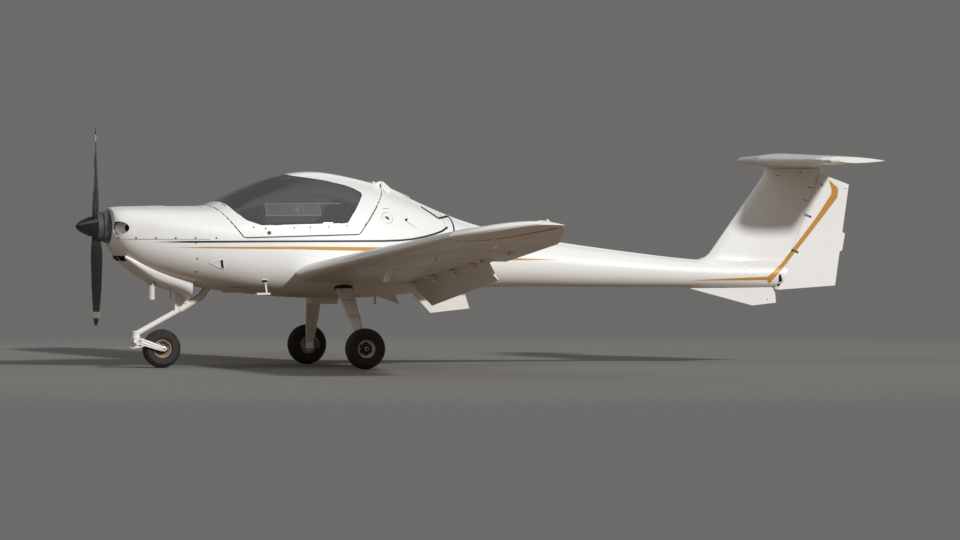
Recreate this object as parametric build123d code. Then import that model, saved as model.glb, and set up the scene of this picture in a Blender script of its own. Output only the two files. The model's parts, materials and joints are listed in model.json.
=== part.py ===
from build123d import *
import os
from math import atan2, cos, pi, radians, sin, sqrt, tan

# Two-seat light aircraft, low wing, T-tail, fixed tricycle gear.  Millimetres.
# X runs aft, +Y to starboard, +Z up.  The origin is on the ground, in the middle of
# the length and of the span.

# ---------------------------------------------------------------- overall sizes
LENGTH = 7160.0              # spinner tip to rudder trailing edge
HALF_SPAN = 5435.0
NOSE_X = -LENGTH / 2
TAIL_X = LENGTH / 2
FAR = LENGTH / 2 + 420       # past the end of everything, for cutters
WIDE = 900.0                 # wider than the body, for cutters
HIGH = 2000.0                # above the whole aircraft
GAP = 5.5                    # clearance between pieces that move past each other
SEAT_GAP = 0.3               # clearance at faces that carry a moving piece
PIN_CLEARANCE = 0.05         # radial clearance of a pin or shaft in its bore

# ---------------------------------------------------------------- fuselage shell
# station x, half width, top z, bottom z, widest z, top fullness, bottom fullness
STATIONS = [
    (-3288, 262, 1402, 1082, 1240, 2.5, 2.5),
    (-3245, 312, 1411, 1022, 1232, 2.6, 2.4),
    (-3130, 368, 1417, 912, 1210, 2.8, 2.3),
    (-2930, 430, 1419, 818, 1175, 2.9, 2.3),
    (-2500, 515, 1420, 712, 1100, 2.9, 2.5),
    (-2400, 530, 1430, 696, 1088, 2.75, 2.6),
    (-2200, 552, 1524, 666, 1070, 2.4, 2.8),
    (-1980, 570, 1621, 643, 1060, 2.2, 2.9),
    (-1700, 580, 1698, 618, 1060, 2.1, 2.9),
    (-1450, 582, 1719, 607, 1058, 2.1, 2.9),
    (-1150, 570, 1676, 605, 1050, 2.05, 2.8),
    (-850, 530, 1600, 618, 1030, 2.0, 2.7),
    (-500, 452, 1456, 648, 990, 2.0, 2.5),
    (-100, 345, 1296, 680, 950, 2.0, 2.3),
    (300, 255, 1189, 697, 922, 2.0, 2.2),
    (900, 186, 1084, 696, 882, 2.0, 2.1),
    (1500, 150, 1003, 692, 846, 2.0, 2.1),
    (2150, 118, 932, 689, 812, 2.0, 2.1),
    (2700, 88, 905, 687, 796, 2.0, 2.1),
    (3000, 72, 890, 686, 788, 2.0, 2.1),
]
SECTION_STEPS = 10
FIREWALL_X = -2500.0
COWL_SPLIT_Z = 1131.0
COWL_WALL = 10.0
COWL_SEAM = 0.6
# air duct under the lower cowl: x, half width, top, bottom and widest height
DUCT = [(-3190, 235, 1010, 952, 978), (-3138, 245, 1000, 908, 950), (-2993, 250, 950, 794, 888),
        (-2756, 250, 880, 688, 800), (-2585, 250, 830, 598, 758)]
DUCT_FULL = (2.5, 3.2)       # fullness above and below the widest height
DUCT_WALL = 8.0
CABIN_WALL = 25.0
CABIN_FRONT_X = -2475.0
CABIN_REAR_X = -800.0
FLOOR_Z = 700.0
LINING_GAP = 14.0            # between the cabin wall and what stands in the cabin
BOOM_WALL = 11.0             # laminated skin behind the cabin
BOOM_FRONT_X = -770.0
BOOM_REAR_X = 2700.0
BULKHEAD_HOLE_R = 60.0
BULKHEAD_HOLE_Z = 1080.0

# ---------------------------------------------------------------- canopy
# side view of the opening in the shell, x and z, from the front top round the sill
CANOPY_OPENING = [(-2475, 1800), (-2428, 1452), (-2395, 1393), (-2200, 1143),
                  (-1160, 1170), (-862, 1545), (-838, 1615), (-838, 1800)]
CANOPY_CORNER = 35.0
GLASS_EDGE = [(-2370, 1850), (-2318, 1462), (-2262, 1376), (-2170, 1296), (-2040, 1251),
              (-1262, 1270), (-1078, 1529), (-1180, 1588), (-1400, 1644), (-1700, 1690),
              (-1712, 1850)]
GLASS_CORNER = 28.0
GLASS_THICK = 5.0
GLASS_INSET = 2.0
CANOPY_HINGE_X = -838.0
CANOPY_HINGE_Z = 1622.0
HINGE_PIN_R = 5.0
HINGE_LUG_Y = 140.0
HINGE_LUG_W = 16.0

# ---------------------------------------------------------------- wing
ROOT_Y = 550.0
TIP_Y = HALF_SPAN - 435      # where the turned-up tip is joined on
ROOT_LE_X = -1735.0
TIP_LE_X = -1665.0
ROOT_LE_Z = 831.0
TIP_LE_Z = 1186.0
ROOT_CHORD = 1330.0
TIP_CHORD = 930.0
ROOT_THICK = 0.15
TIP_THICK = 0.13
CAMBER = 0.035
INCIDENCE = 4.0              # degrees, leading edge up
TE_THICK = 3.0
WING_INNER_Y = 300.0         # wing stub runs this far in, then is trimmed to the shell
FLAP_IN_Y = 500.0
FLAP_OUT_Y = 3090.0
FLAP_HINGE = 0.795           # share of the chord
FLAP_SHROUD = 12.0           # upper skin left over the flap's nose
FLAP_ANGLE = 45.0
FLAP_BRACKETS = 4
BRACKET_SLOT = 10.0          # half width of the slot in a surface round a hinge plate
KNUCKLE_HALF = 4.0           # half thickness of a hinge plate
PIN_HALF = 18.0              # half length of a hinge pin
SMALL_PIN_R = 3.0
AILERON_KNUCKLES = 3
END_OVERRUN = 60.0           # a hinge line's tools run this far past its ends
AILERON_IN_Y = 3112.0
AILERON_OUT_Y = TIP_Y - 140
AILERON_HINGE = 0.80
AILERON_HEIGHT = 0.88        # hinge just under the upper skin
AILERON_LIFT = 4.0           # extra gap at the upper skin, for the upward swing
AILERON_LIP = 4.0
# turned-up tip: y past the joint, leading edge x and z, trailing edge x and z, thickness
TIP_SECTIONS = [(150, -1575, 1210, -752, 1165, 104), (290, -1425, 1244, -776, 1223, 82),
                (390, -1215, 1277, -797, 1262, 52), (435, -1040, 1291, -812, 1279, 22)]
TIE_EYE_Y = 3450.0
TIE_EYE_DROP = 16.0
PITOT_Y = 2600.0

# ---------------------------------------------------------------- tail
HINGE_LOW = (2925.0, 700.0)          # rudder hinge line, x and z
HINGE_HIGH = (3302.0, 1700.0)
# z, fin leading edge x
FIN_EDGE = [(830, 1990), (922, 2070), (938, 2152), (958, 2212), (990, 2251), (1040, 2289),
            (1400, 2551), (1680, 2757), (1740, 2774), (1774, 2742)]
RUDDER_TE_LOW = (3449.0, 697.0)
RUDDER_TE_HIGH = (TAIL_X, 1607.0)
RUDDER_TOP_FRONT_Z = 1702.0
RUDDER_KEEL = [(2909.0, 663.0), (3449.0, 697.0), (3700.0, 713.0)]     # its lower edge
RUDDER_BAY_Z = 654.0                 # the rudder's bay is cut from here up
RUDDER_NOSE_LIP = 1.0
RUDDER_NOSE_HIGH_Z = 1680.0
RUDDER_COVE = 1.08                   # bay radius as a share of the rudder's nose
TAIL_HALF = 200.0                    # wider than the fin, for cutters
FIN_THICK = 0.105
STAB_HALF_SPAN = 1220.0
STAB_HORN_Y = 1112.0
STAB_ROOT_LE = 2705.0
STAB_TIP_LE = 2902.0
STAB_TE = 3479.0
STAB_Z = 1825.0
STAB_ROOT_THICK = 0.158
STAB_TIP_THICK = 0.120
STAB_CORNER = 150.0          # the front corners of the tips are rounded in plan
STAB_CORNER_STEPS = 3
STAB_TOP_END = 3290.0        # the fin reaches this far aft under the tailplane
ELEVATOR_HINGE_X = 3180.0
ELEVATOR_KNUCKLES_Y = (310, 900)
ELEVATOR_COVE = 1.06                 # bay radius as a share of the elevator's nose
ELEVATOR_FALL = 5.6                  # degrees, slope of its lower skin when it is full down
RUDDER_KNUCKLES_Z = (1010, 1330, 1620)
VENTRAL_FIN = [(2050, 720), (2076, 674), (2658, 521), (2882, 545), (2868, 720)]
VENTRAL_THICK = 24.0
BELLY_STRAKE = [(-560, 720), (-530, 655), (-352, 470), (8, 508), (-60, 720)]
STRAKE_THICK = 14.0
TIE_DOWN_R = 6.0
# side views of the small fixed pieces on the body, x and z, and their half widths
BELLY_HOUSING = [(-1470, 640), (-1460, 556), (-1226, 553), (-1205, 640)]
BELLY_HOUSING_HALF = 62.0
BELLY_ANTENNA = ((-862, 0, 640), (-858, 0, 551))
BELLY_ANTENNA_R = 10.0
DECK_COVER = [(-748, 1500), (-748, 1578), (-728, 1570), (-560, 1497), (-545, 1440)]
DECK_COVER_HALF = 60.0
TAIL_TIE_X = 2800.0
TAIL_TIE_Z = 575.0

# ---------------------------------------------------------------- propeller
SHAFT_Z = 1240.0
PROP_X = -3400.0
SPINNER_R = 145.0
SPINNER_AFT_X = -3297.0
SPINNER_PLATE = 12.0
HUB_R = 60.0
HUB_FRONT_X = -3450.0
SHAFT_R = 28.0
# radius, chord, thickness, pitch angle from the disc in degrees
BLADE = [(55, 78, 60, 48), (150, 100, 38, 42), (300, 138, 22, 32), (480, 146, 15, 24),
         (660, 128, 11, 19), (790, 98, 8, 16), (845, 64, 6, 15), (865, 30, 4, 15)]

# ---------------------------------------------------------------- engine bay
CHIN_SLOT = (-3300.0, -3150.0, -215.0, 215.0, 938.0, 984.0)
OUTLET_X = (-2760.0, -2560.0)      # opening from the cowl into the duct
ENGINE_FRONT_X = -3120.0
ENGINE_REAR_X = -2640.0
ENGINE_HALF_W = 290.0
ENGINE_LOW_Z = 1040.0
ENGINE_TOP_Z = 1345.0
INLET_X = -3212.0            # floor of the shallow dish round each air inlet
INLET_Y = 250.0
INLET_Z = 1229.0
INLET_TURN = 52.0            # degrees, how far the dish faces outward from straight ahead
INLET_DISH = (96.0, 57.0)    # half length and half height
INLET_R = 36.5
INLET_SHIFT = 50.0           # the hole lies this far outward in the dish
INLET_FLOOR = 8.0
EXHAUST_X = -2925.0
EXHAUST_Y = -120.0
EXHAUST_R = 29.0
EXHAUST_END_Z = 602.0

# ---------------------------------------------------------------- landing gear
TRACK = 1906.0
MAIN_X = -1222.0
MAIN_R = 178.0
MAIN_W = 124.0
MAIN_RIM_R = 88.0
AXLE_R = 12.5
LEG_TOP = (-1286.0, 440.0, 745.0)
LEG_LOW = (MAIN_X, TRACK / 2 - MAIN_W / 2 - 23, MAIN_R + 22)
AXLE_REACH = MAIN_W / 2 - 10         # the axle ends this far outside the wheel's middle
NOSE_R = 170.0
NOSE_W = 118.0
NOSE_RIM_R = 80.0
CASTOR_X = -3036.0
NOSE_WHEEL_X = CASTOR_X + NOSE_R + 60
CASTOR_TOP_Z = 325.0
CASTOR_LOW_Z = 262.0
KINGPIN_R = 12.0
FORK_ARM_Y = NOSE_W / 2 + 20

# ---------------------------------------------------------------- cabin and steps
SEAT_Y = 275.0
SEAT_W = 455.0
PAN_FRONT_X = -1800.0
PAN_REAR_X = -1330.0
PAN_Z = 820.0
BACK_TOP = (-1085.0, 1390.0)
SHELL_THICK = 26.0
CUSHION_THICK = 62.0
PANEL_X = -1975.0
PANEL_TOP_Z = 1432.0
STEP_X = -2013.0
STEP_Y = 600.0
STEP_Z = 664.0
STEP_TREAD_SHIFT = 35.0              # the tread's middle is ahead of the bar
STEP_BAR_R = 9.0
STEP_TREAD = (118.0, 70.0, 16.0)     # length, width and thickness


# ================================================================ general helpers
def hull_section(x, half_w, top, bottom, wide, full_top, full_low):
    """A rounded cross-section: a superellipse, fuller below or above as given."""
    def half(side):
        points = []
        for i in range(SECTION_STEPS + 1):
            a = pi / 2 - pi * i / SECTION_STEPS
            upper = a >= 0
            power = 2 / (full_top if upper else full_low)
            rise = (top - wide) if upper else (wide - bottom)
            y = 0 if i in (0, SECTION_STEPS) else half_w * cos(a) ** power
            points.append((x, side * y, wide + rise * abs(sin(a)) ** power * (1 if upper else -1)))
        return points

    right = Spline(*half(1), tangents=[(0, 1, 0), (0, -1, 0)])
    left = Spline(*reversed(half(-1)), tangents=[(0, -1, 0), (0, 1, 0)])
    return Face(Wire([right, left]))


def hull(inset):
    """The shell's whole outer form, drawn in by inset."""
    return loft([hull_section(x, w - inset, top - inset, low + inset, wide, nt, nb)
                 for x, w, top, low, wide, nt, nb in STATIONS])


def slab(points, half_width):
    """A prism from a side-view outline, equal both sides of the centre plane."""
    outline = Polyline(*[(x, 0, z) for x, z in points], close=True)
    return extrude(make_face(outline), half_width, both=True)


def rounded_slab(points, half_width, radius, first, last, inset=0.0):
    """The same prism with its corners from first to last rounded, drawn in by inset."""
    outline = Plane.XZ * make_face(Polyline(*points, close=True))
    corners = [v for v in outline.vertices()
               if any(abs(v.X - x) < 0.5 and abs(v.Z - z) < 0.5 for x, z in points[first:last])]
    outline = fillet(corners, radius)
    if inset:
        outline = offset(outline, amount=-inset, kind=Kind.INTERSECTION)
    return extrude(outline, half_width, both=True)


def block(x0, x1, y0, y1, z0, z1):
    """A box from its two corners."""
    size = (x1 - x0, y1 - y0, z1 - z0)
    return Pos((x0 + x1) / 2, (y0 + y1) / 2, (z0 + z1) / 2) * Box(*size)


def rod(start, end, radius):
    """A round bar between two points."""
    start, end = Vector(*start), Vector(*end)
    plane = Plane(origin=start, z_dir=end - start)
    return extrude(plane * Circle(radius), (end - start).length)


def foil(chord_share, thick, camber):
    """Height of the camber line and half thickness at a share of the chord."""
    s = min(max(chord_share, 0.0), 1.0)
    half = 5 * thick * (0.2969 * sqrt(s) - 0.126 * s - 0.3516 * s ** 2
                        + 0.2843 * s ** 3 - 0.1036 * s ** 4)
    peak = 0.4
    if s < peak:
        line = camber * (2 * peak * s - s * s) / peak ** 2
    else:
        line = camber * (1 - 2 * peak + 2 * peak * s - s * s) / (1 - peak) ** 2
    return line, half


def foil_face(lead, trail, across, thick, camber=0.0, edge=TE_THICK, steps=9):
    """An aerofoil from the leading to the trailing point; across is the thick way."""
    lead, trail, across = Vector(*lead), Vector(*trail), Vector(*across).normalized()
    run = trail - lead
    chord = run.length
    along = run.normalized()
    up = (across - along * across.dot(along)).normalized()

    def at(share, side):
        line, half = foil(share, thick, camber)
        half = half * chord + edge / 2 * share
        return lead + along * (share * chord) + up * (line * chord + side * half)

    shares = [(1 - cos(pi * i / steps)) / 2 for i in range(steps + 1)]
    upper = [at(s, 1) for s in reversed(shares)]
    lower = [at(s, -1) for s in shares[1:]]
    curve = Spline(*(upper + lower))
    return Face(Wire([curve, Line(lower[-1], upper[0])]))


def knuckle(centre, way, ahead, reach, half_height, pin_r):
    """A fixed hinge plate with its cross pin, running ahead from the hinge line."""
    centre, way = Vector(*centre), Vector(*way).normalized()
    ahead = (Vector(*ahead) - way * Vector(*ahead).dot(way)).normalized()
    plane = Plane(origin=centre - way * KNUCKLE_HALF, x_dir=ahead, z_dir=way)
    outline = Pos(reach / 2, 0) * Rectangle(reach, 2 * half_height) + Circle(half_height)
    plate = extrude(plane * outline, 2 * KNUCKLE_HALF)
    return plate + rod(centre - way * PIN_HALF, centre + way * PIN_HALF, pin_r)


def knuckle_room(surface, centre, way, slot_r, pin_r):
    """A moving surface with the slot and bore that a knuckle needs."""
    centre, way = Vector(*centre), Vector(*way).normalized()
    slot = rod(centre - way * BRACKET_SLOT, centre + way * BRACKET_SLOT, slot_r)
    bore = rod(centre - way * (PIN_HALF + 4), centre + way * (PIN_HALF + 4),
               pin_r + PIN_CLEARANCE)
    return surface - slot - bore


def disc_face(centre, normal, radius):
    """A round face."""
    return Plane(origin=centre, z_dir=normal) * Circle(radius)


def ring(profile_points, centre):
    """A turned piece about the Y axis through centre, from (y, radius) points."""
    outline = make_face(Polyline(*[(0, y, r) for y, r in profile_points], close=True))
    turned = revolve(outline, Axis((0, 0, 0), (0, 1, 0)), 360)
    return Pos(*centre) * turned


def port(shape):
    """The mirror image on the other side of the centre plane."""
    return mirror(shape, Plane.XZ)


def solid(shape):
    """The largest solid of a result."""
    return max(shape.solids(), key=lambda s: s.volume)


NODES = {}


def keep(name, *shapes):
    """Store the solids that make up one named piece."""
    pieces = []
    for shape in shapes:
        pieces += [s for s in shape.solids() if s.volume > 50]
    NODES[name] = pieces[0] if len(pieces) == 1 else Compound(pieces)
    return NODES[name]


# ================================================================ shell pieces
def between(form, first_x, last_x):
    """The part of a form between two stations."""
    return form & block(first_x, last_x, -WIDE, WIDE, 0, HIGH)


def cabin_space(inset):
    """The space inside the cabin's walls, above its flat floor."""
    return hull(inset) & block(CABIN_FRONT_X, CABIN_REAR_X, -WIDE, WIDE, FLOOR_Z, HIGH)


OUTER = hull(0)
CABIN = cabin_space(CABIN_WALL)


def hinge_x(z):
    """Rudder hinge line at height z."""
    t = (z - HINGE_LOW[1]) / (HINGE_HIGH[1] - HINGE_LOW[1])
    return HINGE_LOW[0] + (HINGE_HIGH[0] - HINGE_LOW[0]) * t


def fin_solid():
    """Fin and rudder as one form."""
    faces = []
    for z, lead in [(655, 1990)] + FIN_EDGE:
        t = (z - RUDDER_TE_LOW[1]) / (RUDDER_TE_HIGH[1] - RUDDER_TE_LOW[1])
        trail = RUDDER_TE_LOW[0] + (RUDDER_TE_HIGH[0] - RUDDER_TE_LOW[0]) * t
        faces.append(foil_face((lead, 0, z), (trail, 0, z), (0, 1, 0), FIN_THICK))
    return loft(faces, ruled=True)


def rudder_tools(full):
    """The cutter for the fin and the rudder's own envelope."""
    def half_thick(z):
        lead = max(x for h, x in FIN_EDGE if h <= max(z, FIN_EDGE[0][0]))
        t = (z - RUDDER_TE_LOW[1]) / (RUDDER_TE_HIGH[1] - RUDDER_TE_LOW[1])
        trail = RUDDER_TE_LOW[0] + (RUDDER_TE_HIGH[0] - RUDDER_TE_LOW[0]) * t
        return foil((hinge_x(z) - lead) / (trail - lead), FIN_THICK, 0)[1] * (trail - lead)

    low, high = RUDDER_BAY_Z, RUDDER_TOP_FRONT_Z + END_OVERRUN
    way = Vector(hinge_x(high) - hinge_x(low), 0, high - low)
    radii = [half_thick(z) + RUDDER_NOSE_LIP for z in (HINGE_LOW[1], RUDDER_NOSE_HIGH_Z)]
    ends = [(hinge_x(z), 0, z) for z in (low, high)]
    nose = loft([disc_face(p, way, r) for p, r in zip(ends, radii)])
    cove = loft([disc_face(p, way, r * RUDDER_COVE + GAP) for p, r in zip(ends, radii)])
    aft = slab([(hinge_x(low), low), (FAR, low), (FAR, high), (hinge_x(high), high)], TAIL_HALF)
    front_x, rear_x = HINGE_HIGH[0], TAIL_X + END_OVERRUN
    slope = (RUDDER_TOP_FRONT_Z - RUDDER_TE_HIGH[1]) / (TAIL_X - front_x)
    top = slab([(0, RUDDER_TOP_FRONT_Z), (front_x, RUDDER_TOP_FRONT_Z),
                (rear_x, RUDDER_TOP_FRONT_Z - slope * (rear_x - front_x)), (rear_x, HIGH),
                (0, HIGH)], TAIL_HALF)
    keel = slab([(0, RUDDER_KEEL[0][1])] + RUDDER_KEEL + [(RUDDER_KEEL[-1][0], 0), (0, 0)],
                TAIL_HALF)
    above_z = RUDDER_TOP_FRONT_Z + GAP
    top_gap = slab([(0, above_z), (front_x, above_z), (front_x, HIGH), (0, HIGH)], TAIL_HALF)
    rudder = full & (nose + aft) - top - keel
    tail_end = slab([(STAB_TOP_END, HIGH), (FAR, HIGH), (FAR, above_z), (STAB_TOP_END, above_z)],
                    TAIL_HALF)
    fin_cut = (cove + aft - top_gap) + tail_end
    return rudder, fin_cut, cove + aft


FIN_FULL = fin_solid()
RUDDER, FIN_CUT, TAIL_CUT = rudder_tools(FIN_FULL)

canopy_open = rounded_slab(CANOPY_OPENING, 800, CANOPY_CORNER, 3, 5)
canopy_form = rounded_slab(CANOPY_OPENING, 800, CANOPY_CORNER, 3, 5, GAP)
window = rounded_slab(GLASS_EDGE, 800, GLASS_CORNER, 5, 7)


def duct(inset):
    """The air duct under the cowl, drawn in by inset."""
    return loft([hull_section(x, w - inset, top, low + inset, wide, *DUCT_FULL)
                 for x, w, top, low, wide in DUCT])


DUCT_FORM = duct(0)


def inlet_dish(side):
    """The hollow, the floor and the hole of one air inlet, in the corner of the cowl."""
    turn = radians(INLET_TURN)
    along = (cos(turn), side * sin(turn), 0)
    facing = (-sin(turn), side * cos(turn), 0)
    centre = Vector(INLET_X, side * INLET_Y, INLET_Z)
    plane = Plane(origin=centre, x_dir=along, z_dir=facing)
    half_long, half_high = INLET_DISH
    hollow = extrude(plane * Ellipse(half_long, half_high), 100)
    floor = extrude(plane * Ellipse(half_long + 5, half_high + 5), -INLET_FLOOR) & OUTER
    centre += Vector(*along) * INLET_SHIFT
    reach = Vector(*facing) * 30
    return hollow, floor, rod(centre - reach, centre + reach, INLET_R)


def cowls():
    """Upper and lower engine cowling with inlets, chin slot, air duct and outlet."""
    front = STATIONS[0][0]
    skin = between(OUTER, NOSE_X, FIREWALL_X - COWL_SEAM)
    skin = skin - between(hull(COWL_WALL), front + COWL_WALL, FIREWALL_X + COWL_WALL)
    skin -= rod((NOSE_X, 0, SHAFT_Z), (front + 40, 0, SHAFT_Z), SHAFT_R + 14)
    for side in (-1, 1):
        hollow, floor, hole = inlet_dish(side)
        skin = solid(((skin - hollow) + floor) - hole)
    upper = skin & block(-FAR, 0, -WIDE, WIDE, COWL_SPLIT_Z + COWL_SEAM, HIGH)
    lower = skin & block(-FAR, 0, -WIDE, WIDE, 0, COWL_SPLIT_Z)
    tunnel = (DUCT_FORM - duct(DUCT_WALL)) - OUTER
    lower = solid(lower) + tunnel
    lower -= block(*CHIN_SLOT)
    lower -= duct(DUCT_WALL) & block(*OUTLET_X, -WIDE, WIDE, 0, 900)
    lower -= rod((EXHAUST_X, EXHAUST_Y, 500), (EXHAUST_X, EXHAUST_Y, 1000), EXHAUST_R + 8)
    keep("upper_cowl", solid(upper))
    keep("lower_cowl", solid(lower))


def fuselage():
    """Cabin tub, turtle deck and tail boom in one shell."""
    body = between(OUTER, FIREWALL_X, FAR)
    body = body - TAIL_CUT
    body = body - CABIN
    body = body - canopy_open
    body = body - between(hull(BOOM_WALL), BOOM_FRONT_X, BOOM_REAR_X)
    body -= rod((CABIN_REAR_X - 20, 0, BULKHEAD_HOLE_Z), (BOOM_FRONT_X + 20, 0, BULKHEAD_HOLE_Z),
                BULKHEAD_HOLE_R)
    keep("fuselage", solid(body))


def canopy():
    """Canopy frame with its window cut out, the glass and the hinge lugs."""
    shell = (OUTER & canopy_form) - CABIN
    frame = shell - window
    lugs = []
    for side in (-1, 1):
        y = side * HINGE_LUG_Y
        x, z = CANOPY_HINGE_X, CANOPY_HINGE_Z
        lug = slab([(x - 74, z - 45), (x - 30, z - 45), (x - 22, z - 12), (x, z - 12),
                    (x, z + 12), (x - 30, z + 12), (x - 74, z - 14)], HINGE_LUG_W / 2)
        lug = Pos(0, y, 0) * lug
        lug += rod((CANOPY_HINGE_X, y - HINGE_LUG_W / 2, CANOPY_HINGE_Z),
                   (CANOPY_HINGE_X, y + HINGE_LUG_W / 2, CANOPY_HINGE_Z), 12)
        lug -= rod((CANOPY_HINGE_X, y - 30, CANOPY_HINGE_Z), (CANOPY_HINGE_X, y + 30, CANOPY_HINGE_Z),
                   HINGE_PIN_R + PIN_CLEARANCE)
        lugs.append(lug)
    frame = solid(frame)
    for lug in lugs:
        frame = frame + lug
    keep("canopy_frame", solid(frame))
    glass_out = between(hull(GLASS_INSET), CABIN_FRONT_X, CABIN_REAR_X)
    glass_in = hull(GLASS_INSET + GLASS_THICK)
    glass = ((glass_out - glass_in) & window) & canopy_form
    keep("canopy_glass", solid(glass))


def canopy_hinge():
    """Fork plates and pins on the deck that carry the canopy's lugs."""
    pieces = []
    for side in (-1, 1):
        y = side * HINGE_LUG_Y
        for edge in (-1, 1):
            plate_y = y + edge * (HINGE_LUG_W / 2 + 5)
            x, z = CANOPY_HINGE_X, CANOPY_HINGE_Z
            plate = slab([(x - 9, 1500), (x - 9, z + 9), (x + 10, z + 9), (x + 70, z - 44),
                          (x + 70, 1500)], 4)
            pieces.append(Pos(0, plate_y, 0) * plate)
        pieces.append(rod((CANOPY_HINGE_X, y - 17, CANOPY_HINGE_Z),
                          (CANOPY_HINGE_X, y + 17, CANOPY_HINGE_Z), HINGE_PIN_R))
    whole = pieces[0]
    for piece in pieces[1:]:
        whole = whole + piece
    keep("canopy_hinge", whole - OUTER)


# ================================================================ wing
def wing_place(y):
    """Leading edge, trailing edge, chord and thickness at a span station."""
    t = (y - ROOT_Y) / (TIP_Y - ROOT_Y)
    chord = ROOT_CHORD + (TIP_CHORD - ROOT_CHORD) * t
    lead_x = ROOT_LE_X + (TIP_LE_X - ROOT_LE_X) * t
    lead_z = ROOT_LE_Z + (TIP_LE_Z - ROOT_LE_Z) * t
    thick = ROOT_THICK + (TIP_THICK - ROOT_THICK) * t
    trail = (lead_x + chord * cos(radians(INCIDENCE)), y,
             lead_z - chord * sin(radians(INCIDENCE)))
    return (lead_x, y, lead_z), trail, chord, thick


def wing_point(y, share, height):
    """A point in the wing: height 0 is the lower skin and 1 the upper skin."""
    lead, trail, chord, thick = wing_place(y)
    line, half = foil(share, thick, CAMBER)
    half = half * chord + TE_THICK / 2 * share
    along = (Vector(*trail) - Vector(*lead)).normalized()
    up = Vector(along.Z, 0, -along.X) * -1
    base = Vector(*lead) + along * (share * chord)
    return base + up * (line * chord + (2 * height - 1) * half), 2 * half


def wing_foil(y):
    """The wing's section at a span station."""
    lead, trail, _, thick = wing_place(y)
    return foil_face(lead, trail, (0, 0, 1), thick, CAMBER)


WING_FULL = loft([wing_foil(WING_INNER_Y), wing_foil(TIP_Y)], ruled=True)


def span_tools(inner, outer, share, height, lip, lift=0.0):
    """A moving surface cut out of the wing along a hinge line, and the cutter for its bay."""
    points = [wing_point(y, share, height) for y in (inner, outer)]
    hinge = [p for p, _ in points]
    radii = [deep - lip for _, deep in points]
    way = (hinge[1] - hinge[0]).normalized()
    length = (hinge[1] - hinge[0]).length
    over = END_OVERRUN / length
    ends = [hinge[0] - (hinge[1] - hinge[0]) * over, hinge[1] + (hinge[1] - hinge[0]) * over]
    taper = (radii[1] - radii[0]) * over
    end_radii = [radii[0] - taper, radii[1] + taper]

    def cone(scale, extra):
        return loft([disc_face(p, (0, 1, 0), r * scale + extra)
                     for p, r in zip(ends, end_radii)])

    def aft(ahead):
        faces = []
        for p in ends:
            corners = [(p.X + ahead, p.Y, p.Z - 300), (p.X + 700, p.Y, p.Z - 300),
                       (p.X + 700, p.Y, p.Z + 300), (p.X + ahead, p.Y, p.Z + 300)]
            faces.append(make_face(Polyline(*corners, close=True)))
        return loft(faces, ruled=True)

    def span_slice(extra):
        plane = Plane(origin=hinge[0] - way * extra, z_dir=way)
        return extrude(plane * Rectangle(2400, 2400), length + 2 * extra)

    surface = solid((WING_FULL & (cone(1, 0) + aft(GAP + lift))) & span_slice(0))
    cutter = (cone(1.02, GAP) + aft(0)) & span_slice(GAP)
    return surface, cutter, hinge, radii


def wing():
    """Wing panel, flap, aileron, their hinges, and the turned-up tip."""
    flap, flap_cut, flap_hinge, flap_r = span_tools(
        FLAP_IN_Y, FLAP_OUT_Y, FLAP_HINGE, 0.03, FLAP_SHROUD)
    aileron, aileron_cut, aileron_hinge, aileron_r = span_tools(
        AILERON_IN_Y, AILERON_OUT_Y, AILERON_HINGE, AILERON_HEIGHT, AILERON_LIP, AILERON_LIFT)
    flap_axis = Axis(tuple(flap_hinge[0]), tuple(flap_hinge[1] - flap_hinge[0]))
    way = (flap_hinge[1] - flap_hinge[0]).normalized()
    panel = solid(WING_FULL - flap_cut - aileron_cut)
    run = aileron_hinge[1] - aileron_hinge[0]
    for i in range(AILERON_KNUCKLES):
        t = (i + 0.5) / AILERON_KNUCKLES
        centre = aileron_hinge[0] + run * t
        radius = aileron_r[0] + (aileron_r[1] - aileron_r[0]) * t
        aileron = knuckle_room(aileron, centre, run, radius + 2, SMALL_PIN_R)
        panel = panel + knuckle(centre, run, (-1, 0, -0.25), radius + 14, 5.5, SMALL_PIN_R)
    aileron = solid(aileron)
    panel = solid(panel)

    brackets = []
    for i in range(FLAP_BRACKETS):
        t = (i + 0.3) / (FLAP_BRACKETS - 0.4)
        centre = flap_hinge[0] + (flap_hinge[1] - flap_hinge[0]) * t
        reach = flap_r[0] + (flap_r[1] - flap_r[0]) * t + 60
        x, y, z = centre.X, centre.Y, centre.Z
        plate = slab([(x - reach, z + 20), (x - reach, z - 6), (x - reach + 50, z - 20),
                      (x, z - 20), (x + 8, z - 8), (x + 8, z), (x, z + 8),
                      (x - 12, z - 8), (x - reach + 50, z - 8)], 4)
        plate = Pos(0, y, 0) * plate
        pin = rod(centre - way * PIN_HALF, centre + way * PIN_HALF, HINGE_PIN_R)
        flap = knuckle_room(flap, centre, way, 30, HINGE_PIN_R)
        brackets.append((plate + pin) - panel)
    flap = solid(flap).rotate(flap_axis, FLAP_ANGLE)

    faces = [wing_foil(TIP_Y)]
    for past, lx, lz, tx, tz, thick in TIP_SECTIONS:
        y = TIP_Y + past
        chord = sqrt((tx - lx) ** 2 + (tz - lz) ** 2)
        faces.append(foil_face((lx, y, lz), (tx, y, tz), (0, 0, 1), thick / chord, CAMBER))
    tip = loft(faces)

    for side, name in ((-1, "left"), (1, "right")):
        place = port if side < 0 else (lambda shape: shape)
        keep(name + "_wing", solid(place(panel) - OUTER))
        keep(name + "_wing_tip", place(tip))
        keep(name + "_flap", place(flap))
        keep(name + "_aileron", place(aileron))
        keep(name + "_flap_hinges", *[place(b) for b in brackets])


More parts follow.
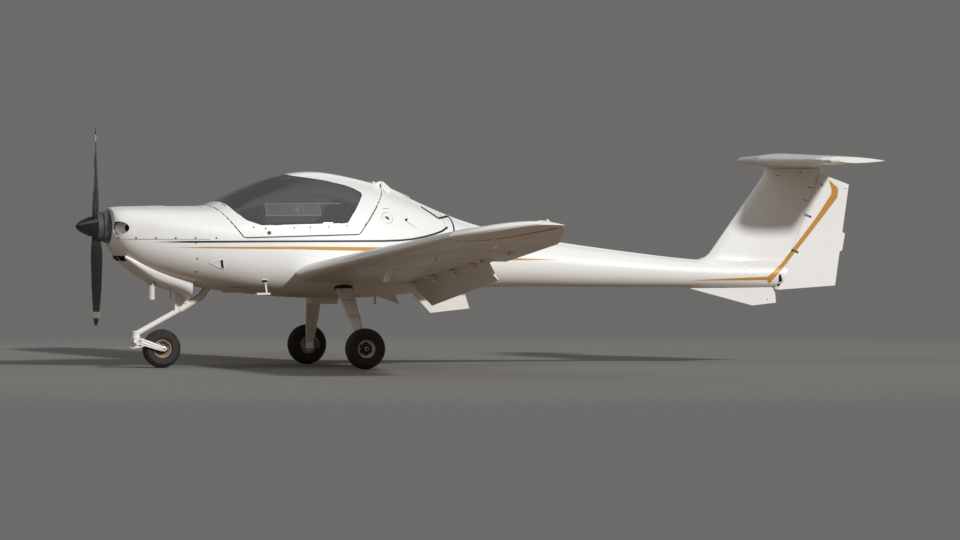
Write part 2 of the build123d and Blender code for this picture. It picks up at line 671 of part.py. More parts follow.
# ================================================================ tail
def stab_foil(y):
    """The tailplane's section: swept, and rounded into the tips in plan."""
    share = abs(y) / STAB_HALF_SPAN
    lead = STAB_ROOT_LE + (STAB_TIP_LE - STAB_ROOT_LE) * share
    past = min(max(abs(y) - (STAB_HALF_SPAN - STAB_CORNER), 0), STAB_CORNER)
    lead += STAB_CORNER - sqrt(STAB_CORNER ** 2 - past ** 2)
    thick = STAB_ROOT_THICK + (STAB_TIP_THICK - STAB_ROOT_THICK) * share
    return foil_face((lead, y, STAB_Z), (STAB_TE, y, STAB_Z - 8), (0, 0, 1), thick)


def tail():
    """Fin, rudder, tailplane, elevator and the two plates under the body."""
    fin = solid(FIN_FULL - FIN_CUT - OUTER)
    hinge_z = STAB_Z - 4
    ends = [STAB_HALF_SPAN - STAB_CORNER * (1 - sin(pi / 2 * i / STAB_CORNER_STEPS))
            for i in range(STAB_CORNER_STEPS + 1)]
    full = loft([stab_foil(y) for y in [-e for e in reversed(ends)] + [0] + ends], ruled=True)
    radii = []
    spans = (-STAB_HALF_SPAN, 0, STAB_HALF_SPAN)
    for y in spans:
        lead = STAB_TIP_LE if y else STAB_ROOT_LE
        thick = STAB_TIP_THICK if y else STAB_ROOT_THICK
        share = (ELEVATOR_HINGE_X - lead) / (STAB_TE - lead)
        radii.append(foil(share, thick, 0)[1] * (STAB_TE - lead))
    centres = [(ELEVATOR_HINGE_X, y, hinge_z) for y in spans]
    nose = loft([disc_face(c, (0, 1, 0), r) for c, r in zip(centres, radii)], ruled=True)
    cove = loft([disc_face(c, (0, 1, 0), r * ELEVATOR_COVE + GAP) for c, r in zip(centres, radii)],
                ruled=True)
    aft = block(ELEVATOR_HINGE_X, FAR, -FAR, FAR, 0, FAR)
    horns = block(0, FAR, STAB_HORN_Y + GAP, FAR, 0, FAR)
    past_horn = block(0, FAR, STAB_HORN_Y, FAR, 0, FAR)
    elevator = solid(full & (nose + aft + horns + port(horns)))
    plane = solid(full - cove - aft - past_horn - port(past_horn))
    for y in ELEVATOR_KNUCKLES_Y:
        for side in (-1, 1):
            centre = (ELEVATOR_HINGE_X, side * y, hinge_z)
            elevator = knuckle_room(elevator, centre, (0, 1, 0), radii[1] + 2, SMALL_PIN_R)
            plane = plane + knuckle(centre, (0, 1, 0), (-1, 0, 0), radii[1] + 24, 8, SMALL_PIN_R)
    below = hinge_z - radii[1] * ELEVATOR_COVE - GAP
    fall = (STAB_TE - ELEVATOR_HINGE_X) * tan(radians(ELEVATOR_FALL))
    swing = slab([(ELEVATOR_HINGE_X, below), (STAB_TE, below - fall), (STAB_TE, HIGH),
                  (ELEVATOR_HINGE_X, HIGH)], TAIL_HALF)
    fin = solid(fin - full - cove - swing)
    rudder = solid(RUDDER)
    way = (HINGE_HIGH[0] - HINGE_LOW[0], 0, HINGE_HIGH[1] - HINGE_LOW[1])
    for z in RUDDER_KNUCKLES_Z:
        centre = (hinge_x(z), 0, z)
        rudder = knuckle_room(rudder, centre, way, 62, SMALL_PIN_R)
        fin = fin + knuckle(centre, way, (-1, 0, 0), 84, 8, SMALL_PIN_R)
    keep("fin", solid(fin - OUTER))
    keep("tailplane", solid(plane))
    keep("elevator", solid(elevator))
    keep("rudder", solid(rudder))
    ventral = solid(solid(slab(VENTRAL_FIN, VENTRAL_THICK / 2) - OUTER) - TAIL_CUT)
    ventral -= rod((TAIL_TIE_X, -40, TAIL_TIE_Z), (TAIL_TIE_X, 40, TAIL_TIE_Z), TIE_DOWN_R)
    keep("ventral_fin", solid(ventral))
    keep("belly_strake", solid(slab(BELLY_STRAKE, STRAKE_THICK / 2) - OUTER))


# ================================================================ propeller
def propeller():
    """Two-blade propeller on its shaft, and the spinner."""
    faces = []
    for radius, chord, thick, pitch in BLADE:
        a = radians(pitch)
        lead = (PROP_X - chord * 0.4 * sin(a), -chord * 0.4 * cos(a), SHAFT_Z + radius)
        trail = (PROP_X + chord * 0.6 * sin(a), chord * 0.6 * cos(a), SHAFT_Z + radius)
        across = (cos(a), -sin(a), 0)
        faces.append(foil_face(lead, trail, across, thick / chord, 0.02, 2.0))
    blade = loft(faces)
    other = blade.rotate(Axis((PROP_X, 0, SHAFT_Z), (1, 0, 0)), 180)
    hub = rod((HUB_FRONT_X, 0, SHAFT_Z), (SPINNER_AFT_X, 0, SHAFT_Z), HUB_R)
    shaft_end = ENGINE_FRONT_X - 130 - SEAT_GAP
    shaft = rod((SPINNER_AFT_X, 0, SHAFT_Z), (shaft_end, 0, SHAFT_Z), SHAFT_R)
    keep("propeller", hub + shaft + blade + other)

    tip = (NOSE_X, SHAFT_Z)
    curve = Spline((tip[0], 0, tip[1]), (NOSE_X + 12, 0, tip[1] + 22),
                   (NOSE_X + 90, 0, tip[1] + 72), (NOSE_X + 185, 0, tip[1] + 116),
                   (SPINNER_AFT_X, 0, tip[1] + SPINNER_R))
    rim = Polyline((SPINNER_AFT_X, 0, tip[1] + SPINNER_R), (SPINNER_AFT_X, 0, tip[1]), (tip[0], 0, tip[1]))
    cone = revolve(make_face(Curve() + [curve, rim]), Axis((0, 0, SHAFT_Z), (1, 0, 0)), 360)
    cone -= rod((HUB_FRONT_X - 8, 0, SHAFT_Z), (SPINNER_AFT_X - SPINNER_PLATE, 0, SHAFT_Z),
                HUB_R + 10)
    cone -= rod((HUB_FRONT_X, 0, SHAFT_Z), (SPINNER_AFT_X + 1, 0, SHAFT_Z), HUB_R + PIN_CLEARANCE)
    cone -= block(PROP_X - 55, PROP_X + 62, -62, 62, SHAFT_Z - 200, SHAFT_Z + 200)
    keep("spinner", solid(cone))


def engine():
    """Engine as one plain block with its front boss, mount legs and exhaust."""
    block_solid = block(ENGINE_FRONT_X, ENGINE_REAR_X, -ENGINE_HALF_W, ENGINE_HALF_W,
                        ENGINE_LOW_Z, ENGINE_TOP_Z)
    block_solid += rod((ENGINE_FRONT_X - 130, 0, SHAFT_Z), (ENGINE_FRONT_X, 0, SHAFT_Z), 60)
    for y in (-230, 230):
        for z in (ENGINE_LOW_Z + 40, ENGINE_TOP_Z - 60):
            block_solid += rod((ENGINE_REAR_X, y, z), (FIREWALL_X, y, z), 14)
    keep("engine_block", block_solid)
    keep("exhaust_pipe", rod((EXHAUST_X, EXHAUST_Y, EXHAUST_END_Z),
                             (EXHAUST_X, EXHAUST_Y, ENGINE_LOW_Z), EXHAUST_R)
         - rod((EXHAUST_X, EXHAUST_Y, EXHAUST_END_Z - 5),
               (EXHAUST_X, EXHAUST_Y, EXHAUST_END_Z + 160), EXHAUST_R - 3))


# ================================================================ landing gear
def tyre(centre, radius, width, rim_r):
    """A round-shouldered tyre about the Y axis."""
    half = width / 2
    shoulder = half * 0.78
    outline = make_face(Curve() + [
        Polyline((0, -half * 0.62, rim_r), (0, half * 0.62, rim_r), (0, half * 0.98, rim_r + 14)),
        Spline((0, half * 0.98, rim_r + 14), (0, half, (rim_r + radius) / 2),
               (0, shoulder, radius - 22), (0, half * 0.4, radius - 3), (0, 0, radius),
               (0, -half * 0.4, radius - 3), (0, -shoulder, radius - 22),
               (0, -half, (rim_r + radius) / 2), (0, -half * 0.98, rim_r + 14)),
        Line((0, -half * 0.98, rim_r + 14), (0, -half * 0.62, rim_r))])
    turned = revolve(outline, Axis((0, 0, 0), (0, 1, 0)), 360)
    return Pos(*centre) * turned


def rim(centre, width, rim_r, axle_r):
    """A wheel rim with a dished web and a hub bored for the axle."""
    half = width * 0.31
    bore = axle_r + PIN_CLEARANCE
    hub = half + 6
    points = [(-hub, bore), (-hub, bore + 16), (-8, bore + 20), (-8, rim_r - 16),
              (-half, rim_r - 10), (-half, rim_r), (half, rim_r), (half, rim_r - 10),
              (8, rim_r - 16), (8, bore + 20), (hub, bore + 16), (hub, bore)]
    return ring(points, centre)


def main_gear():
    """Sprung legs with axles, wheels and brake calipers."""
    calipers = []
    for side, name in ((-1, "left"), (1, "right")):
        top, low = Vector(*LEG_TOP), Vector(*LEG_LOW)
        way = low - top
        faces = []
        for t, chord, thick in ((0, 150, 32), (0.12, 146, 32), (1, 72, 26)):
            p = top + way * t
            up = Vector(0, way.Z, -way.Y).normalized() * -1
            faces.append(Plane(origin=p, x_dir=(1, 0, 0), z_dir=way)
                         * SlotOverall(chord, thick))
        leg = loft(faces, ruled=True)
        wheel = Vector(MAIN_X, TRACK / 2, MAIN_R)
        leg += block(MAIN_X - 34, MAIN_X + 34, LEG_LOW[1] - 14, LEG_LOW[1] + 8, MAIN_R - 34,
                     LEG_LOW[2] + 26)
        leg += rod((MAIN_X, LEG_LOW[1], MAIN_R), (MAIN_X, TRACK / 2 + AXLE_REACH, MAIN_R), AXLE_R)
        leg = leg - OUTER - WING_FULL
        half_rim = MAIN_W * 0.31 + 6
        nut = rod((MAIN_X, TRACK / 2 + half_rim + SEAT_GAP, MAIN_R),
                  (MAIN_X, TRACK / 2 + AXLE_REACH, MAIN_R), AXLE_R + 7)
        inner_y = TRACK / 2 - half_rim - SEAT_GAP
        collar = rod((MAIN_X, LEG_LOW[1], MAIN_R), (MAIN_X, inner_y, MAIN_R), AXLE_R + 7)
        leg = leg + nut + collar
        caliper = block(MAIN_X + 34, MAIN_X + 92, LEG_LOW[1] - 14, LEG_LOW[1] + 20,
                        MAIN_R - 30, MAIN_R + 34)
        place = port if side < 0 else (lambda shape: shape)
        keep(name + "_gear_leg", solid(place(leg)))
        calipers.append(place(solid(caliper - leg)))
        centre = (MAIN_X, side * TRACK / 2, MAIN_R)
        keep(name + "_tyre", tyre(centre, MAIN_R, MAIN_W, MAIN_RIM_R))
        keep(name + "_rim", rim(centre, MAIN_W, MAIN_RIM_R, AXLE_R))
    keep("brake_calipers", *calipers)


def nose_gear():
    """Sloping strut, castoring fork and nose wheel."""
    upper = [(-2350, 0, 760), (-2452, 0, 622), (-2640, 0, 512)]
    head = (CASTOR_X + 4, 0, (CASTOR_TOP_Z + CASTOR_LOW_Z) / 2 + 8)
    strut = rod(upper[0], upper[1], 31) + Pos(*upper[1]) * Sphere(31)
    strut += rod(upper[1], upper[2], 31)
    strut += slab([(-2690, 700), (-2600, 650), (-2560, 575), (-2640, 500), (-2690, 503)], 22)
    strut += Pos(*upper[2]) * Sphere(31) + rod(upper[2], head, 25)
    strut = (strut - OUTER) - DUCT_FORM
    strut += rod((CASTOR_X, 0, CASTOR_LOW_Z), (CASTOR_X, 0, CASTOR_TOP_Z), 33)
    strut -= rod((CASTOR_X, 0, CASTOR_LOW_Z - 1), (CASTOR_X, 0, CASTOR_TOP_Z - 12),
                 KINGPIN_R + PIN_CLEARANCE)
    keep("nose_strut", solid(strut))

    crown_top = CASTOR_LOW_Z - SEAT_GAP
    fork = block(CASTOR_X - 40, CASTOR_X + 34, -FORK_ARM_Y - 9, FORK_ARM_Y + 9,
                 crown_top - 36, crown_top)
    fork += rod((CASTOR_X, 0, crown_top - 10), (CASTOR_X, 0, CASTOR_TOP_Z - 14), KINGPIN_R)
    arm = slab([(CASTOR_X - 40, crown_top), (CASTOR_X - 40, crown_top - 38),
                (NOSE_WHEEL_X - 10, NOSE_R - 24), (NOSE_WHEEL_X + 22, NOSE_R - 14),
                (NOSE_WHEEL_X + 22, NOSE_R + 14), (NOSE_WHEEL_X - 6, NOSE_R + 24),
                (CASTOR_X + 34, crown_top)], 5)
    for side in (-1, 1):
        fork += Pos(0, side * (FORK_ARM_Y + 4), 0) * arm
    reach = FORK_ARM_Y + 14
    fork += rod((NOSE_WHEEL_X, -reach, NOSE_R), (NOSE_WHEEL_X, reach, NOSE_R), AXLE_R - 2)
    half_rim = NOSE_W * 0.31 + 6 + SEAT_GAP
    for side in (-1, 1):
        fork += rod((NOSE_WHEEL_X, side * half_rim, NOSE_R),
                    (NOSE_WHEEL_X, side * FORK_ARM_Y, NOSE_R), AXLE_R + 5)
    keep("nose_fork", solid(fork))
    centre = (NOSE_WHEEL_X, 0, NOSE_R)
    keep("nose_tyre", tyre(centre, NOSE_R, NOSE_W, NOSE_RIM_R))
    keep("nose_rim", rim(centre, NOSE_W, NOSE_RIM_R, AXLE_R - 2))


# ================================================================ cabin
def cabin():
    """Instrument panel, console, seats, cushions, sticks and pedals."""
    room = cabin_space(CABIN_WALL + LINING_GAP)
    board = slab([(PANEL_X, 985), (PANEL_X - 28, 985), (PANEL_X - 28, PANEL_TOP_Z - 34),
                  (-2300, PANEL_TOP_Z - 20), (-2290, PANEL_TOP_Z - 4), (PANEL_X - 30, PANEL_TOP_Z + 8),
                  (PANEL_X + 26, PANEL_TOP_Z - 8), (PANEL_X + 26, PANEL_TOP_Z - 26),
                  (PANEL_X, PANEL_TOP_Z - 30)], 520) & room
    tabs = block(PANEL_X - 28, PANEL_X - 4, -600, 600, 1000, 1110) & CABIN
    console = block(PANEL_X - 28, PANEL_X + 95, -62, 62, 600, 1010) & CABIN
    keep("instrument_panel", solid(board + tabs))
    keep("centre_console", solid(console - (board + tabs)))

    shells, cushions, backs, sticks, pedals = [], [], [], [], []
    lean = atan2(BACK_TOP[0] - PAN_REAR_X, BACK_TOP[1] - PAN_Z)
    nx, nz = -cos(lean), sin(lean)

    def off(point, distance):
        return point[0] + nx * distance, point[1] + nz * distance

    for side in (-1, 1):
        y = side * SEAT_Y
        back_low = (PAN_REAR_X, PAN_Z)
        profile = [(PAN_FRONT_X, PAN_Z + 40), (PAN_REAR_X, PAN_Z), BACK_TOP,
                   off(BACK_TOP, -SHELL_THICK), (PAN_REAR_X + 22, PAN_Z - SHELL_THICK),
                   (PAN_REAR_X + 22, 640), (PAN_FRONT_X + 60, 640),
                   (PAN_FRONT_X, PAN_Z + 40 - SHELL_THICK)]
        shell = Pos(0, y, 0) * slab(profile, SEAT_W / 2)
        shells.append(shell & room)
        seat = slab([(PAN_FRONT_X, PAN_Z + 40 + SEAT_GAP), (PAN_REAR_X - 80, PAN_Z + 7 + SEAT_GAP),
                     (PAN_REAR_X - 62, PAN_Z + 7 + CUSHION_THICK),
                     (PAN_FRONT_X - 5, PAN_Z + 40 + CUSHION_THICK)], SEAT_W / 2 - 10)
        cushions.append((Pos(0, y, 0) * seat) & room)
        start = (PAN_REAR_X + 12, PAN_Z + 28)
        rest = slab([off(start, SEAT_GAP), off(BACK_TOP, SEAT_GAP),
                     off(BACK_TOP, CUSHION_THICK), off(start, CUSHION_THICK)], SEAT_W / 2 - 10)
        backs.append((Pos(0, y, 0) * rest) & room)
        foot = (-1872, y, 700)
        stick = rod(foot, (-1862, y, 900), 11) + Pos(-1862, y, 900) * Sphere(11)
        stick += rod((-1862, y, 900), (-1835, y, 1010), 17)
        boot = Pos(-1872, y, 700) * Cone(46, 18, 80)
        sticks.append((stick + boot) & CABIN)
        for shift in (-70, 70):
            pedal = block(-2292, -2280, y + shift - 42, y + shift + 42, 800, 905)
            pedal += rod((-2286, y + shift, 640), (-2286, y + shift, 830), 8)
            pedals.append(pedal & CABIN)
    keep("seat_shells", *shells)
    keep("seat_cushions", *cushions)
    keep("back_cushions", *backs)
    keep("control_sticks", *sticks)
    keep("rudder_pedals", *pedals)


def entry_steps():
    """A folded bar with a flat tread on each side, for climbing in."""
    steps = []
    for side in (-1, 1):
        foot = (STEP_X, side * STEP_Y, STEP_Z)
        step = rod((STEP_X + 34, side * (STEP_Y - 190), STEP_Z + 108), foot, STEP_BAR_R)
        half_long, half_wide = STEP_TREAD[0] / 2, STEP_TREAD[1] / 2
        middle = STEP_X - STEP_TREAD_SHIFT
        step += block(middle - half_long, middle + half_long, foot[1] - half_wide,
                      foot[1] + half_wide, STEP_Z - STEP_TREAD[2], STEP_Z)
        steps.append(solid(step - OUTER))
    keep("entry_steps", *steps)


def trim():
    """Small fixed pieces under and on the body and wings."""
    keep("belly_housing", solid(slab(BELLY_HOUSING, BELLY_HOUSING_HALF) - OUTER))
    keep("belly_antenna", solid(rod(*BELLY_ANTENNA, BELLY_ANTENNA_R) - OUTER))
    keep("deck_cover", solid(slab(DECK_COVER, DECK_COVER_HALF) - OUTER))
    rings = []
    for side in (-1, 1):
        base, _ = wing_point(TIE_EYE_Y, 0.35, 0)
        centre = Vector(base.X, TIE_EYE_Y, base.Z - TIE_EYE_DROP)
        eye = Pos(centre.X, centre.Y, centre.Z) * Rot(0, 90, 0) * (Cylinder(13, 8) - Cylinder(TIE_DOWN_R, 10))
        stem = block(centre.X - 4, centre.X + 4, TIE_EYE_Y - 5, TIE_EYE_Y + 5, centre.Z + 9,
                     centre.Z + 30)
        eye = solid((eye + stem) - WING_FULL)
        rings.append(port(eye) if side < 0 else eye)
    keep("tie_down_eyes", *rings)
    mast_top, _ = wing_point(PITOT_Y, 0.22, 0)
    mast = slab([(mast_top.X - 30, mast_top.Z + 30), (mast_top.X + 40, mast_top.Z + 30),
                 (mast_top.X - 30, mast_top.Z - 150), (mast_top.X - 75, mast_top.Z - 150)], 8)
    mast = Pos(0, mast_top.Y, 0) * mast - WING_FULL
    keep("pitot_mast", port(solid(mast)))


def main():
    cowls()
    fuselage()
    canopy()
    canopy_hinge()
    wing()
    tail()
    propeller()
    engine()
    main_gear()
    nose_gear()
    cabin()
    entry_steps()
    trim()
    os.makedirs("parts", exist_ok=True)
    for name, shape in NODES.items():
        export_step(shape, f"parts/{name}.step")


main()
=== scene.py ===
"""Two-seat low-wing light aircraft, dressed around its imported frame.

X runs aft, +Y is the starboard side and +Z is up.  Everything is in metres.
"""

from __future__ import annotations

import json
import logging
import math
import sys
from dataclasses import dataclass, field
from typing import Any, Callable, Iterable, Sequence

import bmesh
import bpy
from mathutils import Matrix, Vector
from mathutils.bvhtree import BVHTree

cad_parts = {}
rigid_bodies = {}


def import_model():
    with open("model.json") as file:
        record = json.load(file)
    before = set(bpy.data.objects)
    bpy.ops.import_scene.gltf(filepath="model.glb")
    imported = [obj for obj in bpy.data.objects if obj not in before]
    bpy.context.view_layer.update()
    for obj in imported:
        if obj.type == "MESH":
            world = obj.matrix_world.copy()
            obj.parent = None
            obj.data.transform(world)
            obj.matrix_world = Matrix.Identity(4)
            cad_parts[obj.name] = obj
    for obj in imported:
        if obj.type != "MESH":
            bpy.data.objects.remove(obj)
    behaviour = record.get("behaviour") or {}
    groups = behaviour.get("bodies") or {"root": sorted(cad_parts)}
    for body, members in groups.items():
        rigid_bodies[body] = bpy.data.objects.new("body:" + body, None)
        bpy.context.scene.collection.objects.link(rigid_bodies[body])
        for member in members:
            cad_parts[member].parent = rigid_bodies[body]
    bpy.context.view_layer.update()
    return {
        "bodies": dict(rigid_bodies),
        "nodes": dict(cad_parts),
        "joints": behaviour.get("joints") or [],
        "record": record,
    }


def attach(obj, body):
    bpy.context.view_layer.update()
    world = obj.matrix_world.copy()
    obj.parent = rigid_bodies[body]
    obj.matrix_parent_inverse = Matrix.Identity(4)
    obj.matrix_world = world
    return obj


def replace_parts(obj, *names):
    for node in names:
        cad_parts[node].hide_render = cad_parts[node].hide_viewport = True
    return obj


LOG = logging.getLogger("aircraft")
Colour = tuple[float, float, float]
Pair = tuple[float, float]
Triple = tuple[float, float, float]
Place = tuple[Vector, Vector]
SIDES = (-1, 1)
SHAFT_Z = 1.24
CABIN_WALL_Y = 0.508
BACK_WAY = Vector((-0.918, 0, 0.396))
SLOT_FINISHES = {
    "steel": ("steel", "screw_heads", "bright_metal", "brake_disc"),
    "dark_plastic": ("rubber_seal", "black_of_painted_shade_and_dials", "dark_plastic", "red_knob"),
    "clear_glass": ("red_lens", "green_lens", "clear_lens", "storm_window_acrylic"),
    "panel_black": ("dial_marks", "radio_screen"),
    "seat_cloth": ("belt_webbing", "cabin_carpet"),
    "seat_shell": ("cabin_liner",),
    "gear_paint": ("gear_paint",),
    "engine_metal": ("engine_casting",),
    "spinner_black": ("spinner_base_paint",),
}
SLOTS = {finish: slot for slot, finishes in SLOT_FINISHES.items() for finish in finishes}


def angles(count: int, start: float = 0.0) -> list[float]:
    """Evenly spaced angles round a circle.

    Args:
        count: how many there are.
        start: the first one, in radians.

    Returns:
        The angles.
    """
    return [2 * math.pi * k / count + start for k in range(count)]


# ============================================================ shader building
class Value:
    """A shader socket that carries a number; arithmetic on it adds Math nodes."""

    def __init__(self, shader: "Shader", socket: bpy.types.NodeSocket) -> None:
        """Wraps one output socket of a shader."""
        self.shader = shader
        self.socket = socket

    def _math(self, operation: str, *values: Any) -> "Value":
        """Adds one Math node.

        Args:
            operation: the Math node's operation.
            values: its inputs, as numbers or Values.

        Returns:
            The node's result.
        """
        sockets = {index: value for index, value in enumerate(values)}
        return self.shader.value("ShaderNodeMath", {"operation": operation}, sockets)

    def __add__(self, other: Any) -> "Value":
        """Sum."""
        return self._math("ADD", self, other)

    __radd__ = __add__

    def __sub__(self, other: Any) -> "Value":
        """Difference."""
        return self._math("SUBTRACT", self, other)

    def __rsub__(self, other: Any) -> "Value":
        """Difference with the number first."""
        return self._math("SUBTRACT", other, self)

    def __mul__(self, other: Any) -> "Value":
        """Product."""
        return self._math("MULTIPLY", self, other)

    __rmul__ = __mul__

    def __truediv__(self, other: Any) -> "Value":
        """Quotient."""
        return self._math("DIVIDE", self, other)

    def __gt__(self, other: Any) -> "Value":
        """1 where this is the greater."""
        return self._math("GREATER_THAN", self, other)

    def __lt__(self, other: Any) -> "Value":
        """1 where this is the less."""
        return self._math("LESS_THAN", self, other)

    def __abs__(self) -> "Value":
        """Size without sign."""
        return self._math("ABSOLUTE", self)

    def least(self, other: Any) -> "Value":
        """The smaller of the two."""
        return self._math("MINIMUM", self, other)

    def most(self, other: Any) -> "Value":
        """The larger of the two."""
        return self._math("MAXIMUM", self, other)

    def sine(self) -> "Value":
        """Sine."""
        return self._math("SINE", self)

    def root(self) -> "Value":
        """Square root."""
        return self._math("SQRT", self)

    def rise(self, low: float, high: float) -> "Value":
        """A smooth step from 0 at low to 1 at high.

        Args:
            low: where the step starts.
            high: where it ends.

        Returns:
            The step.
        """
        return self.shader.value(
            "ShaderNodeMapRange",
            {"interpolation_type": "SMOOTHSTEP", "clamp": True},
            {"Value": self, "From Min": low, "From Max": high, "To Min": 0.0, "To Max": 1.0},
            "Result",
        )


class Shader:
    """A material's node tree, with one way to add any node."""

    def __init__(self, name: str, sky: bool = False) -> None:
        """Makes an empty node material, or an empty world.

        Args:
            name: its name.
            sky: whether it is a world.
        """
        self.material = (bpy.data.worlds if sky else bpy.data.materials).new(name)
        self.material.use_nodes = True
        self.tree = self.material.node_tree
        self.tree.nodes.clear()
        self.output = self.tree.nodes.new("ShaderNodeOutputWorld" if sky
                                          else "ShaderNodeOutputMaterial")

    def node(self, kind: str, settings: dict[str, Any] | None = None,
             inputs: dict[Any, Any] | None = None) -> bpy.types.Node:
        """Adds a node.

        Args:
            kind: the node's type.
            settings: its properties; "stops" fills a colour ramp.
            inputs: numbers, colours, sockets or Values by socket name or number.

        Returns:
            The node.
        """
        made = self.tree.nodes.new(kind)
        for key, setting in (settings or {}).items():
            if key == "stops":
                ramp = made.color_ramp
                while len(ramp.elements) < len(setting):
                    ramp.elements.new(0.5)
                for element, (place, colour) in zip(ramp.elements, setting):
                    element.position = place
                    element.color = (*colour, 1.0)
            else:
                setattr(made, key, setting)
        for key, given in (inputs or {}).items():
            socket = made.inputs[key]
            if isinstance(given, Value):
                given = given.socket
            if isinstance(given, bpy.types.NodeSocket):
                self.tree.links.new(given, socket)
            elif isinstance(given, tuple) and len(given) == 3 and socket.type == "RGBA":
                socket.default_value = (*given, 1.0)
            else:
                socket.default_value = given
        return made

    def value(self, kind: str, settings: dict[str, Any] | None = None,
              inputs: dict[Any, Any] | None = None, output: Any = 0) -> Value:
        """Adds a node and wraps one of its outputs.

        Args:
            kind: the node's type.
            settings: its properties.
            inputs: what feeds its sockets.
            output: the output's name or number.

        Returns:
            The wrapped output.
        """
        return Value(self, self.node(kind, settings, inputs).outputs[output])

    def place(self) -> bpy.types.NodeSocket:
        """The point on the surface, in the aircraft's own metres."""
        return self.node("ShaderNodeTexCoord").outputs["Object"]

    def axes(self) -> tuple[Value, Value, Value]:
        """The place's x, y and z."""
        parts = self.node("ShaderNodeSeparateXYZ", None, {"Vector": self.place()})
        return tuple(Value(self, parts.outputs[i]) for i in range(3))

    def noise(self, scale: float, detail: float = 4.0, stretch: Triple = (1, 1, 1)) -> Value:
        """Cloudy variation from 0 to 1.

        Args:
            scale: cells in a metre.
            detail: octaves.
            stretch: how far each axis is drawn out.

        Returns:
            The noise.
        """
        spot = self.node("ShaderNodeMapping", None,
                         {"Vector": self.place(), "Scale": stretch}).outputs[0]
        return self.value("ShaderNodeTexNoise", None,
                          {"Vector": spot, "Scale": scale, "Detail": detail})

    def mix(self, share: Value | float, first: Any, second: Any) -> bpy.types.NodeSocket:
        """Blends two colours.

        Args:
            share: 0 for the first and 1 for the second.
            first: a colour or a colour socket.
            second: a colour or a colour socket.

        Returns:
            The blended colour.
        """
        def padded(colour: Any) -> Any:
            """A colour with its alpha."""
            return (*colour, 1.0) if isinstance(colour, tuple) else colour

        made = self.node("ShaderNodeMix", {"data_type": "RGBA"},
                         {0: share, 6: padded(first), 7: padded(second)})
        return made.outputs[2]

    def seen(self) -> Value:
        """1 for the rays that the camera, mirrors and glass send, 0 for light's own."""
        path = self.node("ShaderNodeLightPath")
        eye, mirror, through = (Value(self, path.outputs[f"Is {kind} Ray"])
                                for kind in ("Camera", "Glossy", "Transmission"))
        return eye.most(mirror).most(through)

    def blend(self, share: Value, first: bpy.types.Node, second: bpy.types.Node) -> bpy.types.Node:
        """Mixes two surfaces.

        Args:
            share: 0 for the first and 1 for the second.
            first: a surface node.
            second: a surface node.

        Returns:
            The mixing node.
        """
        return self.node("ShaderNodeMixShader", None,
                         {0: share, 1: first.outputs[0], 2: second.outputs[0]})

    def bump(self, height: Value, distance: float, strength: float = 1.0) -> bpy.types.NodeSocket:
        """A surface normal from a height.

        Args:
            height: the height field.
            distance: what a height of 1 is, in metres.
            strength: how much of it is used.

        Returns:
            The normal.
        """
        return self.node("ShaderNodeBump", None,
                         {"Height": height, "Distance": distance, "Strength": strength}).outputs[0]

    def coat(self, **inputs: Any) -> bpy.types.Material:
        """Closes the material with one main shader.

        Args:
            inputs: its sockets, with underscores for spaces.

        Returns:
            The material.
        """
        named = {key.replace("_", " "): given for key, given in inputs.items()}
        main = self.node("ShaderNodeBsdfPrincipled", None, named)
        self.tree.links.new(main.outputs[0], self.output.inputs[0])
        return self.material


@dataclass(frozen=True)
class Stripe:
    """A painted line in side view, between two points, with its width at each end."""

    start: Pair
    end: Pair
    start_width: float
    end_width: float
    fade: float = 0.0

    def cover(self, x: Value, z: Value) -> Value:
        """How much paint of this stripe lies at a place.

        Args:
            x: the place's x.
            z: the place's z.

        Returns:
            1 on the stripe and 0 off it.
        """
        run = (self.end[0] - self.start[0], self.end[1] - self.start[1])
        length = math.hypot(*run)
        ux, uz = run[0] / length, run[1] / length
        along = (x - self.start[0]) * ux + (z - self.start[1]) * uz
        across = abs((x - self.start[0]) * (-uz) + (z - self.start[1]) * ux)
        share = along / length
        half = share * (self.end_width / 2 - self.start_width / 2) + self.start_width / 2
        edge = 0.0012
        body = (half - across).rise(-edge, edge)
        ends = along.rise(-edge, max(self.fade, edge)) * (length - along).rise(-edge, edge)
        return body * ends


@dataclass(frozen=True)
class Livery:
    """The side view's painted lines in one colour."""

    colour: Colour
    stripes: tuple[Stripe, ...]

    def cover(self, x: Value, z: Value) -> Value:
        """All its stripes together."""
        whole = self.stripes[0].cover(x, z)
        for stripe in self.stripes[1:]:
            whole = whole.most(stripe.cover(x, z))
        return whole


LINE_BLACK = (0.012, 0.011, 0.011)
LINE_GOLD = (0.50, 0.245, 0.035)


def polyline(points: Sequence[Pair], width: float, fade: float = 0.0) -> tuple[Stripe, ...]:
    """Stripes through a list of points.

    Args:
        points: places in side view.
        width: the line's width.
        fade: length over which the first stripe fades in.

    Returns:
        One stripe for each run.
    """
    runs = zip(points, points[1:])
    return tuple(Stripe(a, b, width, width, fade if i == 0 else 0.0)
                 for i, (a, b) in enumerate(runs))


